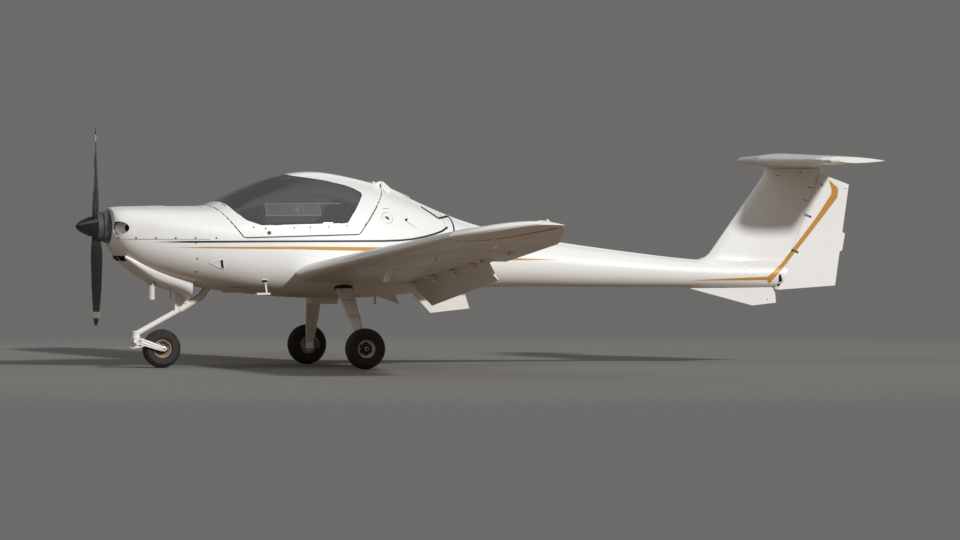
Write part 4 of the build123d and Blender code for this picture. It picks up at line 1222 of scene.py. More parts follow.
@dataclass
class Cowling:
    """Fastenings and openings of the nose."""

    skin: Skin
    finish: Finishes
    split_z: float = 1.131
    wall_x: float = -2.5
    screw_radius: float = 0.0085
    side_screws: tuple[float, ...] = (-3.26, -3.126, -2.961, -2.794, -2.625, -2.445)
    wall_screws: tuple[Pair, ...] = ((-2.622, 1.100), (-2.605, 0.961), (-2.595, 0.847), (-2.57, 0.76))
    vent: tuple[Pair, ...] = ((-2.500, 0.926), (-2.385, 0.957), (-2.367, 0.868))
    dish_centre: Triple = (-3.212, 0.250, 1.229)
    dish_turn: float = 52.0
    dish: Pair = (0.099, 0.060)
    hole_shift: float = 0.050
    hole_radius: float = 0.0345

    def build(self) -> None:
        """Makes every detail of the nose."""
        self.screws()
        self.seams()
        self.side_vents()
        self.oil_door()
        self.inlet_dishes()
        self.inlet_fins()
        self.outlet()

    def screws(self) -> None:
        """Quarter-turn fasteners along the split line and the firewall."""
        heads = Piece("cowl_screws", self.finish.screw)
        row = [(x, self.split_z + 0.010) for x in self.side_screws]
        heads.studs(self.skin.both(row + list(self.wall_screws)), self.screw_radius, 0.002)
        middle = Vector((self.wall_x - 0.02, 0, 1.12))
        heads.studs((self.skin.slice(middle, 0.0, math.radians(48 + 14 * k)) for k in range(7)),
                    self.screw_radius * 0.8, 0.002)
        heads.place()

    def seams(self) -> None:
        """The joint lines between the two cowls."""
        line = Piece("cowl_joint_lines", self.finish.seal)
        line.side_ribbons(self.skin, [(x, self.split_z)
                                      for x in spread(-3.272, self.wall_x - 0.004, 28)],
                          0.0045, 0.0005)
        line.place()

    def side_vents(self) -> None:
        """The flush three-cornered cabin air inlets behind the cowl, with a near-black patch of painted
        shade at the deep end of each.
        """
        floor = Piece("air_inlet_painted_shade", self.finish.void)
        lip = Piece("air_inlet_lips", self.finish.white)
        nose, high, low = (Vector((x, 0, z)) for x, z in self.vent)
        for side in SIDES:
            def at(share: float, across: float) -> Place:
                """A place in the triangle: share from its nose, across from 0 to 1."""
                edge = high.lerp(low, across)
                spot = nose.lerp(edge, share)
                return self.skin.side(spot.x, spot.z, side)
            # Painted shade: a near-black patch over the inlet's deep end.
            floor.patch(grid(spread(0.80, 0.99, 4), spread(0.06, 0.94, 6), at), 0.0012)
            rim = ([at(share, 0.0) for share in spread(0.04, 1, 8)]
                   + [at(1, across) for across in spread(0.15, 0.85, 4)]
                   + [at(share, 1.0) for share in spread(1, 0.04, 8)])
            lip.ribbon(rim, 0.008, 0.004, loop=True)
            lip.patch(grid(spread(0.10, 0.80, 6), spread(0.05, 0.95, 5), at), 0.0010)
        place_all(floor, lip)

    def oil_door(self) -> None:
        """The small door over the oil filler, with its hinge and catch."""
        door = Piece("oil_filler_door", self.finish.hull)
        door.patch(grid(spread(-2.93, -2.74, 6), spread(0.13, 0.30, 6), self.skin.top), 0.0022)
        door.place()
        catch = Piece("oil_door_catch", self.finish.steel)
        catch.stud(self.skin.top(-2.835, 0.272), 0.012, 0.005, 18)
        hinge = [self.skin.top(x, 0.126)[0] for x in spread(-2.92, -2.75, 6)]
        catch.tube(hinge, 0.0035, 8)
        catch.place()

    def inlet_dishes(self) -> None:
        """The pale dished floor of each air inlet, with the round way in at its outer end."""
        floor = Piece("air_inlet_dishes", self.finish.white)
        turn, (half_long, half_high) = math.radians(self.dish_turn), self.dish
        for side in SIDES:
            centre = Vector((self.dish_centre[0], side * self.dish_centre[1], self.dish_centre[2]))
            along = Vector((math.cos(turn), side * math.sin(turn), 0))
            inward = Vector((math.sin(turn), -side * math.cos(turn), 0)) * 0.004
            rim, hole = [], []
            for a in angles(48):
                rim.append(centre + along * half_long * math.cos(a)
                           + Vector((0, 0, half_high * math.sin(a))))
                hole.append(centre + along * (self.hole_shift + self.hole_radius * math.cos(a))
                            + Vector((0, 0, self.hole_radius * math.sin(a))))
            floor.rings([rim, hole, [p + inward * 3 for p in hole], [p + inward for p in rim]],
                        loop=True)
        floor.place()

    def inlet_fins(self) -> None:
        """Dark cylinder fins that show inside the two air inlets."""
        fins = Piece("engine_cooling_fins", self.finish.cast)
        for side in SIDES:
            for k in range(9):
                z = 1.165 + k * 0.014
                y0, y1 = sorted((side * 0.15, side * 0.262))
                fins.block((-3.118, y0, z), (-3.045, y1, z + 0.004))
        fins.place()

    def outlet(self) -> None:
        """Clamp of the exhaust pipe and a drain pipe under the cowl."""
        clamp = Piece("exhaust_clamp", self.finish.steel)
        clamp.turned([(-0.010, 0.030), (-0.010, 0.0325), (0.010, 0.0325), (0.010, 0.030)],
                     (-2.925, -0.120, 0.74), (0, 0, 1), 32, loop=True)
        clamp.block((-2.93, -0.162, 0.732), (-2.92, -0.150, 0.748))
        clamp.tube([(-2.70, 0.10, 0.72), (-2.70, 0.10, 0.60)], 0.005, 10)
        clamp.place()


# ================================================================== the canopy
@dataclass
class Canopy:
    """Seals, fastenings, storm windows and latches of the canopy."""

    skin: Skin
    shell: Skin
    finish: Finishes
    glass_front: tuple[Pair, Pair] = ((-2.318, 1.462), (-2.370, 1.850))
    glass_side: tuple[Pair, ...] = ((-2.318, 1.462), (-2.262, 1.376), (-2.170, 1.296),
                                    (-2.040, 1.251), (-1.262, 1.270), (-1.078, 1.529),
                                    (-1.180, 1.588), (-1.400, 1.644), (-1.700, 1.688))
    sill_screws: tuple[Pair, ...] = ((-2.114, 1.235), (-2.008, 1.224), (-1.753, 1.231),
                                     (-1.608, 1.234), (-1.441, 1.237), (-1.271, 1.247),
                                     (-1.100, 1.258))
    opening: tuple[Pair, ...] = ((-2.407, 1.412), (-2.396, 1.391), (-2.201, 1.140),
                                 (-1.158, 1.167), (-0.859, 1.544))
    arches: tuple[tuple[float, float, float], ...] = ((-2.404, -0.135, 31.0), (-0.834, 0.0, 51.0))
    lock: Pair = (-1.979, 1.186)
    corner: float = 0.030
    panes: tuple[tuple[float, float, float], ...] = ((-1.985, -1.66, 0.012), (-1.70, -1.50, 0.017))
    rails: tuple[tuple[float, float, float], ...] = ((1.341, -2.00, -1.49), (1.446, -2.00, -1.30))

    def build(self) -> None:
        """Makes every piece on the canopy."""
        self.glass_seal()
        self.outline_seam()
        self.fastenings()
        self.storm_windows()
        self.handles()

    def rounded(self, points: Sequence[Pair]) -> list[Pair]:
        """An open outline with its corners rounded.

        Args:
            points: the outline's corners.

        Returns:
            A denser list of places.
        """
        line = [Vector((x, z)) for x, z in points]
        out = [line[0]]
        for before, here, after in zip(line, line[1:], line[2:]):
            back, on = before - here, after - here
            reach = min(self.corner, back.length * 0.45, on.length * 0.45)
            start, end = here + back.normalized() * reach, here + on.normalized() * reach
            out += [start.lerp(here, t).lerp(here.lerp(end, t), t) for t in (0, 0.25, 0.5, 0.75, 1)]
        out.append(line[-1])
        dense: list[Pair] = []
        for first, second in zip(out, out[1:]):
            steps = max(1, int((second - first).length / 0.04))
            dense += [tuple(first.lerp(second, k / steps)) for k in range(steps)]
        dense.append(tuple(out[-1]))
        return dense

    def glass_seal(self) -> None:
        """The black bead between the glazing and its frame."""
        bead = Piece("canopy_glass_seal", self.finish.seal, "canopy")
        bead.side_ribbons(self.skin, self.rounded(self.glass_side), 0.007, 0.0008)
        (x0, z0), (x1, z1) = self.glass_front
        lean = (x1 - x0) / (z1 - z0)
        middle = Vector((x0 + lean * (1.25 - z0), 0, 1.25))
        bead.ribbon([self.skin.slice(middle, lean, a)
                     for a in spread(math.radians(28), math.radians(152), 36)], 0.007, 0.0008)
        bead.place()

    def outline_seam(self) -> None:
        """The dark gap between the canopy frame and the body."""
        seam = Piece("canopy_outline_seam", self.finish.seal)
        seam.side_ribbons(self.shell, self.rounded(self.opening), 0.006, 0.0006)
        for x, lean, first in self.arches:
            seam.ribbon([self.shell.slice(Vector((x, 0, 1.25)), lean, math.radians(a))
                         for a in spread(first, 180 - first, 40)], 0.006, 0.0006)
        seam.place()

    def fastenings(self) -> None:
        """Screws along the sill."""
        heads = Piece("canopy_screws", self.finish.screw, "canopy")
        heads.studs(self.skin.both(self.sill_screws), 0.0075, 0.0018)
        heads.place()
        lock = Piece("canopy_locks", self.finish.screw, "canopy")
        for spot in self.skin.both([self.lock]):
            lock.turned([(-0.002, 0.016), (0.004, 0.016), (0.006, 0.012), (0.006, 0.004),
                         (0.003, 0.003)], *spot, 28)
        lock.place()

    def storm_windows(self) -> None:
        """A sliding storm window on each side with its two rails and a small grip."""
        pane = Piece("storm_window_panes", self.finish.window, "canopy")
        rail = Piece("storm_window_rails", self.finish.pale_ink, "canopy", slot="clear_glass")
        low, high = self.rails[0][0] + 0.006, self.rails[1][0] - 0.006
        for side in SIDES:
            def inner(x: float, z: float, deep: float = 0.012) -> Place:
                """A place just inside the glazing."""
                point, normal = self.skin.side(x, z, side)
                return point - normal * deep, normal
            for x0, x1, deep in self.panes:
                pane.patch(grid(spread(x0, x1, 7), spread(low, high, 5),
                                lambda u, v: inner(u, v, deep)), 0.001, 0.002)
                for x in (x0, x1):
                    rail.ribbon([inner(x, z, deep) for z in spread(low, high, 6)], 0.007, 0.003)
            for z, x0, x1 in self.rails:
                rail.ribbon([inner(x, z) for x in spread(x0, x1, 18)], 0.010, 0.003)
            spot, normal = inner(self.panes[0][1] - 0.05, low + 0.045)
            rail.turned([(-0.001, 0.016), (-0.012, 0.014), (-0.016, 0.008)], spot, normal, 20)
        place_all(pane, rail)

    def handles(self) -> None:
        """The two inner latch levers of the canopy."""
        lever = Piece("canopy_latch_levers", self.finish.knob_red, "canopy")
        base = Piece("canopy_latch_bases", self.finish.dark, "canopy")
        for side in SIDES:
            y = side * CABIN_WALL_Y
            base.block((-1.74, y - 0.008, 1.212), (-1.64, y + 0.008, 1.238))
            lever.tube([(-1.66, y - side * 0.014, 1.228), (-1.70, y - side * 0.020, 1.238),
                        (-1.80, y - side * 0.026, 1.243)], [0.007, 0.008, 0.006], 12)
        base.bevel(0.003)
        place_all(base, lever)


# ============================================================= the fuselage trim
@dataclass
class FuselageTrim:
    """Fittings on the fuselage sides, deck and belly."""

    skin: Skin
    finish: Finishes
    cap: Pair = (-0.882, 1.314)
    vent: Pair = (-0.696, 1.293)
    step: Pair = (-2.0, 0.765)
    cover: tuple[Pair, Pair] = ((-0.726, 1.569), (-0.562, 1.498))

    def build(self) -> None:
        """Makes every fitting."""
        self.filler()
        self.breather()
        self.deck()
        self.recesses()
        self.belly()
        self.steps()

    def filler(self) -> None:
        """The fuel filler cap in its ring."""
        spot = self.skin.side(*self.cap, -1)
        ring = Piece("fuel_filler_ring", self.finish.steel)
        ring.turned([(-0.002, 0.0540), (0.0016, 0.0540), (0.0024, 0.0525), (0.0016, 0.0510),
                     (-0.002, 0.0510)], *spot, 56, loop=True)
        ring.place()
        cap = Piece("fuel_filler_cap", self.finish.white)
        cap.turned([(-0.002, 0.0510), (0.001, 0.0510), (0.0022, 0.047), (0.0024, 0.0)], *spot, 56)
        cap.place()
        key = Piece("fuel_cap_key", self.finish.screw)
        basis = square_frame(spot[1])
        key.block((-0.021, -0.009, 0.0), (0.006, 0.009, 0.010), basis, spot[0])
        key.block((-0.004, -0.018, 0.0), (0.016, 0.000, 0.007), basis, spot[0])
        key.bevel(0.002)
        key.place()
        plate = Piece("fuel_grade_plate", self.finish.steel)
        x, z = self.cap
        plate.ribbon([self.skin.side(x + dx, z + 0.082, -1) for dx in spread(-0.03, 0.03, 5)],
                     0.006, 0.001)
        plate.place()

    def breather(self) -> None:
        """A slim fairing on each side, with near-black painted shade for the tank vent's opening in its
        nose.
        """
        hood = Piece("tank_vent_fairings", self.finish.hull)
        hole = Piece("tank_vent_painted_shade", self.finish.void)
        x, z = self.vent
        for side in SIDES:
            line = [self.skin.side(x + 0.013 * k, z - 0.010 * k, side) for k in range(9)]
            radii = [0.013, 0.0135, 0.013, 0.0118, 0.010, 0.0078, 0.0054, 0.003, 0.001]
            hood.tube([point + normal * 0.002 for point, normal in line], radii, 14)
            point, normal = line[0]
            # Painted shade for the vent's opening: a near-black ring and dome at the fairing's nose.
            hole.turned([(-0.001, 0.0115), (0.0022, 0.0115), (0.003, 0.008)],
                        point + normal * 0.002, point - line[1][0], 20)
            hole.stud(line[0], 0.0135, 0.016)
        place_all(hood, hole)

    def deck(self) -> None:
        """Brown lines along the edges of the ridge cover behind the canopy."""
        edge = Piece("ridge_cover_brown_edge_lines", self.finish.bronze, slot="dark_plastic")
        (x0, z0), (x1, z1) = self.cover
        for y in (-0.0605, 0.0605):
            for drop in (0.0, 0.022):
                edge.tube([(x0, y, z0 - drop), (x1, y, z1 - drop * 0.4)], 0.0028, 8)
        for y in (-0.03, 0.03):
            edge.tube([(x0, y, z0 + 0.002), (x1, y, z1 + 0.002)], 0.0028, 8)
        edge.place()
        seam = Piece("deck_joint_lines", self.finish.seal)
        middle = Vector((-0.30, 0, 1.1))
        seam.ribbon([self.skin.slice(middle, 0.0, a)
                     for a in spread(math.radians(20), math.radians(160), 26)], 0.0035, 0.0005)
        seam.place()

    def recesses(self) -> None:
        """The foot recesses above the entry steps: a lip over each, and a near-black patch on the skin
        as painted shade for the opening.
        """
        hood = Piece("step_recess_lips", self.finish.hull)
        hole = Piece("step_recess_painted_shade", self.finish.void)
        x, z = self.step
        for side in SIDES:
            # Painted shade: a near-black patch where the recess opens.
            hole.patch(grid(spread(x - 0.020, x + 0.020, 5), spread(z - 0.011, z + 0.010, 4),
                            lambda u, v: self.skin.side(u, v, side)), 0.0012)
            hood.ribbon([self.skin.side(u, z + 0.013, side) for u in spread(x - 0.026, x + 0.026, 7)],
                        0.007, 0.005)
        place_all(hood, hole)

    def belly(self) -> None:
        """Drain cups along the belly."""
        drains = Piece("belly_drains", self.finish.screw)
        spots = ((-2.2, 0.0), (-1.7, 0.18), (-1.7, -0.18), (-0.6, 0.0), (0.4, 0.0), (1.4, 0.0))
        drains.studs([self.skin.below(x, y) for x, y in spots], 0.009, 0.004)
        drains.place()

    def steps(self) -> None:
        """Grip strips on the entry steps' treads."""
        grip = Piece("step_grip_strips", self.finish.dark)
        for side in SIDES:
            for k in range(5):
                x = -2.095 + 0.022 * k
                grip.block((x, side * 0.600 - 0.030, 0.6635), (x + 0.010, side * 0.600 + 0.030, 0.6655))
        grip.place()


# ==================================================================== the wings
@dataclass
class WingTrim:
    """Lamps, seams, fairings and fittings of the wings."""

    skin: Skin
    finish: Finishes
    lamp: Pair = (-1.03, 5.375)
    rod_stations: Pair = (3.35, 4.15)
    flap_hinge: tuple[Triple, Triple] = ((-0.6786, 0.500, 0.7371), (-0.8221, 3.090, 0.9619))

    def build(self) -> None:
        """Makes every fitting on both wings."""
        for side in SIDES:
            name = "left" if side < 0 else "right"
            self.tip_line(side, name)
            self.lamps(side, name)
            self.belly_panels(side, name)
            self.push_rods(side, name)
            self.flap_arms(side, name)
            self.root_line(side, name)

    def tip_line(self, side: int, name: str) -> None:
        """The dark seam round the tip cap, from below over the leading edge."""
        seam = Piece(f"{name}_tip_seam", self.finish.seal)
        low = [self.skin.below(x, side * y)
               for x, y in ((-0.84, 5.385), (-0.95, 5.325), (-1.10, 5.245), (-1.25, 5.160),
                            (-1.38, 5.09), (-1.50, 5.035), (-1.60, 5.01), (-1.645, 5.005))]
        seam.ribbon(low, 0.016, 0.0010)
        top = [self.skin.top(x, side * 5.0) for x in spread(-1.60, -0.93, 14)]
        seam.ribbon(top, 0.005, 0.0006)
        seam.place()

    def lamps(self, side: int, name: str) -> None:
        """The coloured position lamp and the strobe behind it, in their fairing."""
        colour = self.finish.red if side < 0 else self.finish.green
        x, y = self.lamp
        fairing = Piece(f"{name}_lamp_fairing", self.finish.white)
        line = [self.skin.top(x + 0.03 * k, side * (y - 0.02 + 0.004 * k))[0] for k in range(9)]
        fairing.tube([p + Vector((0, 0, -0.004)) for p in line],
                     [0.017, 0.024, 0.026, 0.026, 0.024, 0.021, 0.016, 0.010, 0.004], 18)
        fairing.place()
        lens = Piece(f"{name}_position_lamp", colour)
        nose = line[0] + Vector((0.004, 0, -0.002))
        lens.turned([(-0.004, 0.017), (0.010, 0.0165), (0.022, 0.013), (0.029, 0.007), (0.031, 0.001)],
                    nose, (-1, 0, 0.1), 24)
        lens.place()
        strobe = Piece(f"{name}_strobe_lamp", self.finish.clear)
        strobe.turned([(-0.004, 0.020), (0.012, 0.018), (0.022, 0.012), (0.026, 0.003)],
                      line[3] + Vector((0, side * 0.008, 0.012)), (0, side * 0.5, 0.9), 24)
        strobe.place()

    def belly_panels(self, side: int, name: str) -> None:
        """Round access panels with their screws and eyes under the wing, and near-black strips of
        painted shade for the drain slots.
        """
        panel = Piece(f"{name}_access_panels", self.finish.white)
        heads = Piece(f"{name}_access_screws", self.finish.screw)
        for x, y, radius in ((-1.18, 1.55, 0.075), (-1.13, 2.35, 0.075), (-1.10, 3.25, 0.07),
                             (-1.17, 4.05, 0.065), (-1.20, 4.72, 0.055)):
            point, normal = self.skin.below(x, side * y)
            panel.turned([(-0.002, radius), (0.0012, radius), (0.0022, radius - 0.004), (0.0022, 0.0)],
                         point, normal, 36)
            reach = radius - 0.012
            for a in angles(6, 0.3):
                spot = self.skin.below(x + reach * math.cos(a), side * y + reach * math.sin(a))
                heads.stud((spot[0] + spot[1] * 0.0020, spot[1]), 0.0045, 0.001, 10)
        eyes = ((-1.30, 0.95), (-1.42, 1.9), (-0.97, 2.75), (-1.0, 3.6), (-1.35, 4.4))
        heads.studs([self.skin.below(x, side * y) for x, y in eyes], 0.007, 0.003, 12)
        place_all(panel, heads)
        # Painted shade: near-black strips for the drain slots.
        slot = Piece(f"{name}_drain_slot_painted_shade", self.finish.void)
        for x, y, turn in ((-1.05, 3.62, 0.0), (-1.28, 2.2, 1.2), (-1.10, 4.30, 0.25)):
            run = Vector((math.sin(turn), math.cos(turn), 0)) * 0.035
            slot.ribbon([self.skin.below(x + run.x * k, side * (y + run.y * k)) for k in (-1, 0, 1)],
                        0.007, 0.001)
        slot.place()

    def push_rods(self, side: int, name: str) -> None:
        """The aileron's horns, their push rods and fairings under the wing."""
        fairing = Piece(f"{name}_aileron_fairings", self.finish.white)
        rod = Piece(f"{name}_aileron_rod", self.finish.steel)
        dark = Piece(f"{name}_aileron_slot_painted_shade", self.finish.void)
        for y in self.rod_stations:
            line = [self.skin.below(x, side * y) for x in spread(-1.12, -0.895, 9)]
            radii = [0.004, 0.011, 0.017, 0.021, 0.024, 0.026, 0.026, 0.025, 0.022]
            fairing.tube([p + n * 0.002 for p, n in line], radii, 14)
            start = line[-1][0] + line[-1][1] * 0.010
            # Painted shade: a near-black disc where the rod leaves the fairing.
            dark.turned([(0.0, 0.021), (0.004, 0.021), (0.004, 0.0)], start, (1, 0, 0), 20)
            rod.tube([start, start + Vector((0.030, 0, -0.004))], 0.006, 10)
        place_all(fairing, dark, rod)
        horn = Piece(f"{name}_aileron_horns", self.finish.gear, f"{name}_aileron")
        for y in self.rod_stations:
            point, _ = self.skin.below(-0.80 if y < 4 else -0.84, side * y)
            x, _, z = point
            outline = [(x - 0.022, 0, z + 0.002), (x - 0.030, 0, z - 0.030), (x - 0.022, 0, z - 0.036),
                       (x + 0.014, 0, z - 0.014), (x + 0.045, 0, z + 0.002)]
            horn.prism([Vector(p) + Vector((0, side * y - 0.003, 0)) for p in outline], (0, 0.006, 0))
        horn.bevel(0.0015)
        horn.place()

    def flap_arms(self, side: int, name: str) -> None:
        """Curved hinge arms and bolts on the lowered flap."""
        arm = Piece(f"{name}_flap_arms", self.finish.chrome, f"{name}_flap")
        bolt = Piece(f"{name}_flap_bolts", self.finish.steel)
        start, end = (Vector(place) for place in self.flap_hinge)
        for i in range(4):
            centre = start.lerp(end, (i + 0.3) / 3.6)
            centre.y *= side
            for edge in (-1, 1):
                y = centre.y + edge * 0.013
                loop = [Vector((centre.x - 0.010 + 0.030 * math.cos(a), y,
                                centre.z - 0.012 + 0.030 * math.sin(a)))
                        for a in (math.radians(d) for d in (150, 185, 220, 255, 290, 325))]
                arm.tube(loop, [0.004, 0.006, 0.007, 0.007, 0.006, 0.004], 10)
            bolt.turned([(-0.017, 0.009), (0.017, 0.009)], centre, (0, 1, 0), 6)
            bolt.turned([(0.017, 0.012), (0.019, 0.012)], centre, (0, 1, 0), 18)
        place_all(arm, bolt)

    def root_line(self, side: int, name: str) -> None:
        """Screws under the wing's root."""
        line = Piece(f"{name}_root_screws", self.finish.screw)
        line.studs([self.skin.below(x, side * 0.66) for x in (-1.45, -1.05, -0.75)], 0.008, 0.003)
        line.place()


# ===================================================================== the tail
@dataclass
class TailTrim:
    """Tab, painted shade for the hinge cut-outs and horn openings, panels and lamp of the tail."""

    skin: Skin
    finish: Finishes

    def build(self) -> None:
        """Makes every fitting on the tail."""
        self.rudder_tab()
        self.horn_openings()
        self.hinge_slots()
        self.screws()
        self.panels()
        self.trim_lines()
        self.lamp()

    def rudder_tab(self) -> None:
        """The fixed metal tab on the rudder's trailing edge."""
        tab = Piece("rudder_tab", self.finish.white, "rudder")
        outline = [(3.470, 1.195), (3.507, 1.189), (3.544, 1.162), (3.517, 1.013), (3.480, 0.996),
                   (3.445, 0.990)]
        tab.prism([Vector((x, -0.0015, z)) for x, z in outline], (0, 0.003, 0))
        tab.bevel(0.0008, 1)
        tab.place()

    def horn_openings(self) -> None:
        """Painted shade for the slot at the rudder's foot, a near-black patch, with its pale cable
        horn.
        """
        slot = Piece("rudder_horn_painted_shade", self.finish.void)
        horn = Piece("rudder_horns", self.finish.chrome, "rudder")
        for side in SIDES:
            rows = [(2.898, 0.800, 0.008), (2.901, 0.770, 0.016), (2.905, 0.740, 0.017),
                    (2.899, 0.712, 0.012), (2.893, 0.690, 0.004)]
            places = [[self.skin.side(x - w, z, side), self.skin.side(x + w, z, side)]
                      for x, z, w in rows]
            # Painted shade: a near-black patch over the slot.
            slot.patch(places, 0.0012)
            y = side * 0.036
            horn.prism([(2.928, y, 0.775), (2.950, y, 0.760), (2.946, y, 0.722), (2.924, y, 0.715)],
                       (0, side * 0.006, 0))
        slot.place()
        horn.bevel(0.001, 1)
        horn.place()

    def hinge_slots(self) -> None:
        """Near-black painted shade at the ends of the rudder's hinge cut-outs."""
        dark = Piece("rudder_hinge_painted_shade", self.finish.void, "rudder")
        for side in SIDES:
            for x, z in ((3.262, 1.664), (3.190, 1.583), (3.147, 1.467)):
                a = [self.skin.side(x - 0.012 + 0.018 * k, z + 0.004 - 0.006 * k, side)
                     for k in range(3)]
                dark.ribbon(a, 0.008, 0.0012)
        dark.place()

    def screws(self) -> None:
        """Screws at the fin's top that hold the tailplane."""
        heads = Piece("fin_screws", self.finish.screw)
        heads.studs(self.skin.both([(2.891, 1.687), (3.101, 1.714)]), 0.0075, 0.002)
        heads.place()
        line = Piece("tailplane_joint_lines", self.finish.seal)
        line.side_ribbons(self.skin, [(x, 1.752) for x in spread(2.80, 3.24, 10)], 0.004, 0.0006)
        line.place()

    def panels(self) -> None:
        """Access panels on the tail cone."""
        frame = Piece("tail_cone_panels", self.finish.tail)
        for side in SIDES:
            rows, columns = spread(2.56, 2.66, 4), spread(0.800, 0.850, 4)
            frame.patch(grid(rows, columns, lambda u, v: self.skin.side(u, v, side)), 0.0014)
        frame.place()
        heads = Piece("tail_cone_screws", self.finish.screw)
        corners = [(x, z) for x in (2.57, 2.65) for z in (0.808, 0.842)]
        heads.studs([(point + normal * 0.001, normal) for point, normal in self.skin.both(corners)],
                    0.004, 0.0012, 10)
        heads.place()

    def trim_lines(self) -> None:
        """The elevator's trim tabs, marked by fine grooves."""
        groove = Piece("elevator_tab_lines", self.finish.seal, "elevator")
        front, edge, inner, outer = 3.40, 3.455, 0.22, 0.62
        for side in SIDES:
            corners = ([(edge, inner), (front, inner)] + [(front, y) for y in spread(0.30, outer, 5)]
                       + [(edge, outer)])
            groove.ribbon([self.skin.top(x, side * y) for x, y in corners], 0.003, 0.0006)
        groove.place()

    def lamp(self) -> None:
        """The white tail lamp on the rudder's trailing edge."""
        lens = Piece("tail_lamp", self.finish.clear, "rudder")
        lens.turned([(-0.012, 0.012), (0.004, 0.012), (0.012, 0.008), (0.015, 0.001)],
                    (3.549, 0.0, 1.575), (1, 0, 0.1), 22)
        lens.place()


# ================================================================= the propeller
@dataclass
class PropellerTrim:
    """Spinner base, screws and blade edge strips, which turn with the propeller."""

    finish: Finishes
    radius: float = 0.145
    base_x: float = -3.297

    def build(self) -> None:
        """Makes every piece."""
        base = Piece("spinner_base_band", self.finish.spinner_base, "propeller")
        tip_x = -3.58
        def girth(x: float) -> float:
            """The spinner's radius at x."""
            known = ((0.0, 0.0), (0.012, 0.022), (0.09, 0.072), (0.185, 0.116), (0.283, 0.145))
            past = x - tip_x
            for (a, ra), (b, rb) in zip(known, known[1:]):
                if past <= b:
                    return ra + (rb - ra) * (past - a) / (b - a)
            return known[-1][1]
        outer = [(x - self.base_x, girth(x) + 0.0022) for x in spread(-3.397, self.base_x, 9)]
        profile = [(outer[0][0], outer[0][1] - 0.005)] + outer + [(0.0, self.radius - 0.006)]
        base.turned(profile, (self.base_x, 0, SHAFT_Z), (1, 0, 0), 72, loop=True)
        base.place()
        heads = Piece("spinner_screws", self.finish.screw, "propeller")
        for k in range(12):
            a = 2 * math.pi * (k + 0.5) / 12
            out = Vector((-0.28, math.sin(a), math.cos(a))).normalized()
            x = self.base_x - 0.022
            radius = girth(x) + 0.0018
            centre = Vector((x, radius * math.sin(a), SHAFT_Z + radius * math.cos(a)))
            heads.stud((centre, out), 0.0048, 0.002, 12)
        heads.place()
        cuffs = Piece("blade_edge_strips", self.finish.chrome, "propeller")
        for sign in (1, -1):
            line = []
            for radius, chord, pitch in ((0.30, 0.138, 32), (0.48, 0.146, 24), (0.66, 0.128, 19),
                                         (0.79, 0.098, 16), (0.845, 0.064, 15)):
                a = math.radians(pitch)
                reach = chord * 0.4 - 0.002
                line.append(Vector((-3.400 - reach * math.sin(a), -sign * reach * math.cos(a),
                                    SHAFT_Z + sign * radius)))
            cuffs.tube(line, [0.0025, 0.0032, 0.0030, 0.0024, 0.0014], 8)
        cuffs.place()


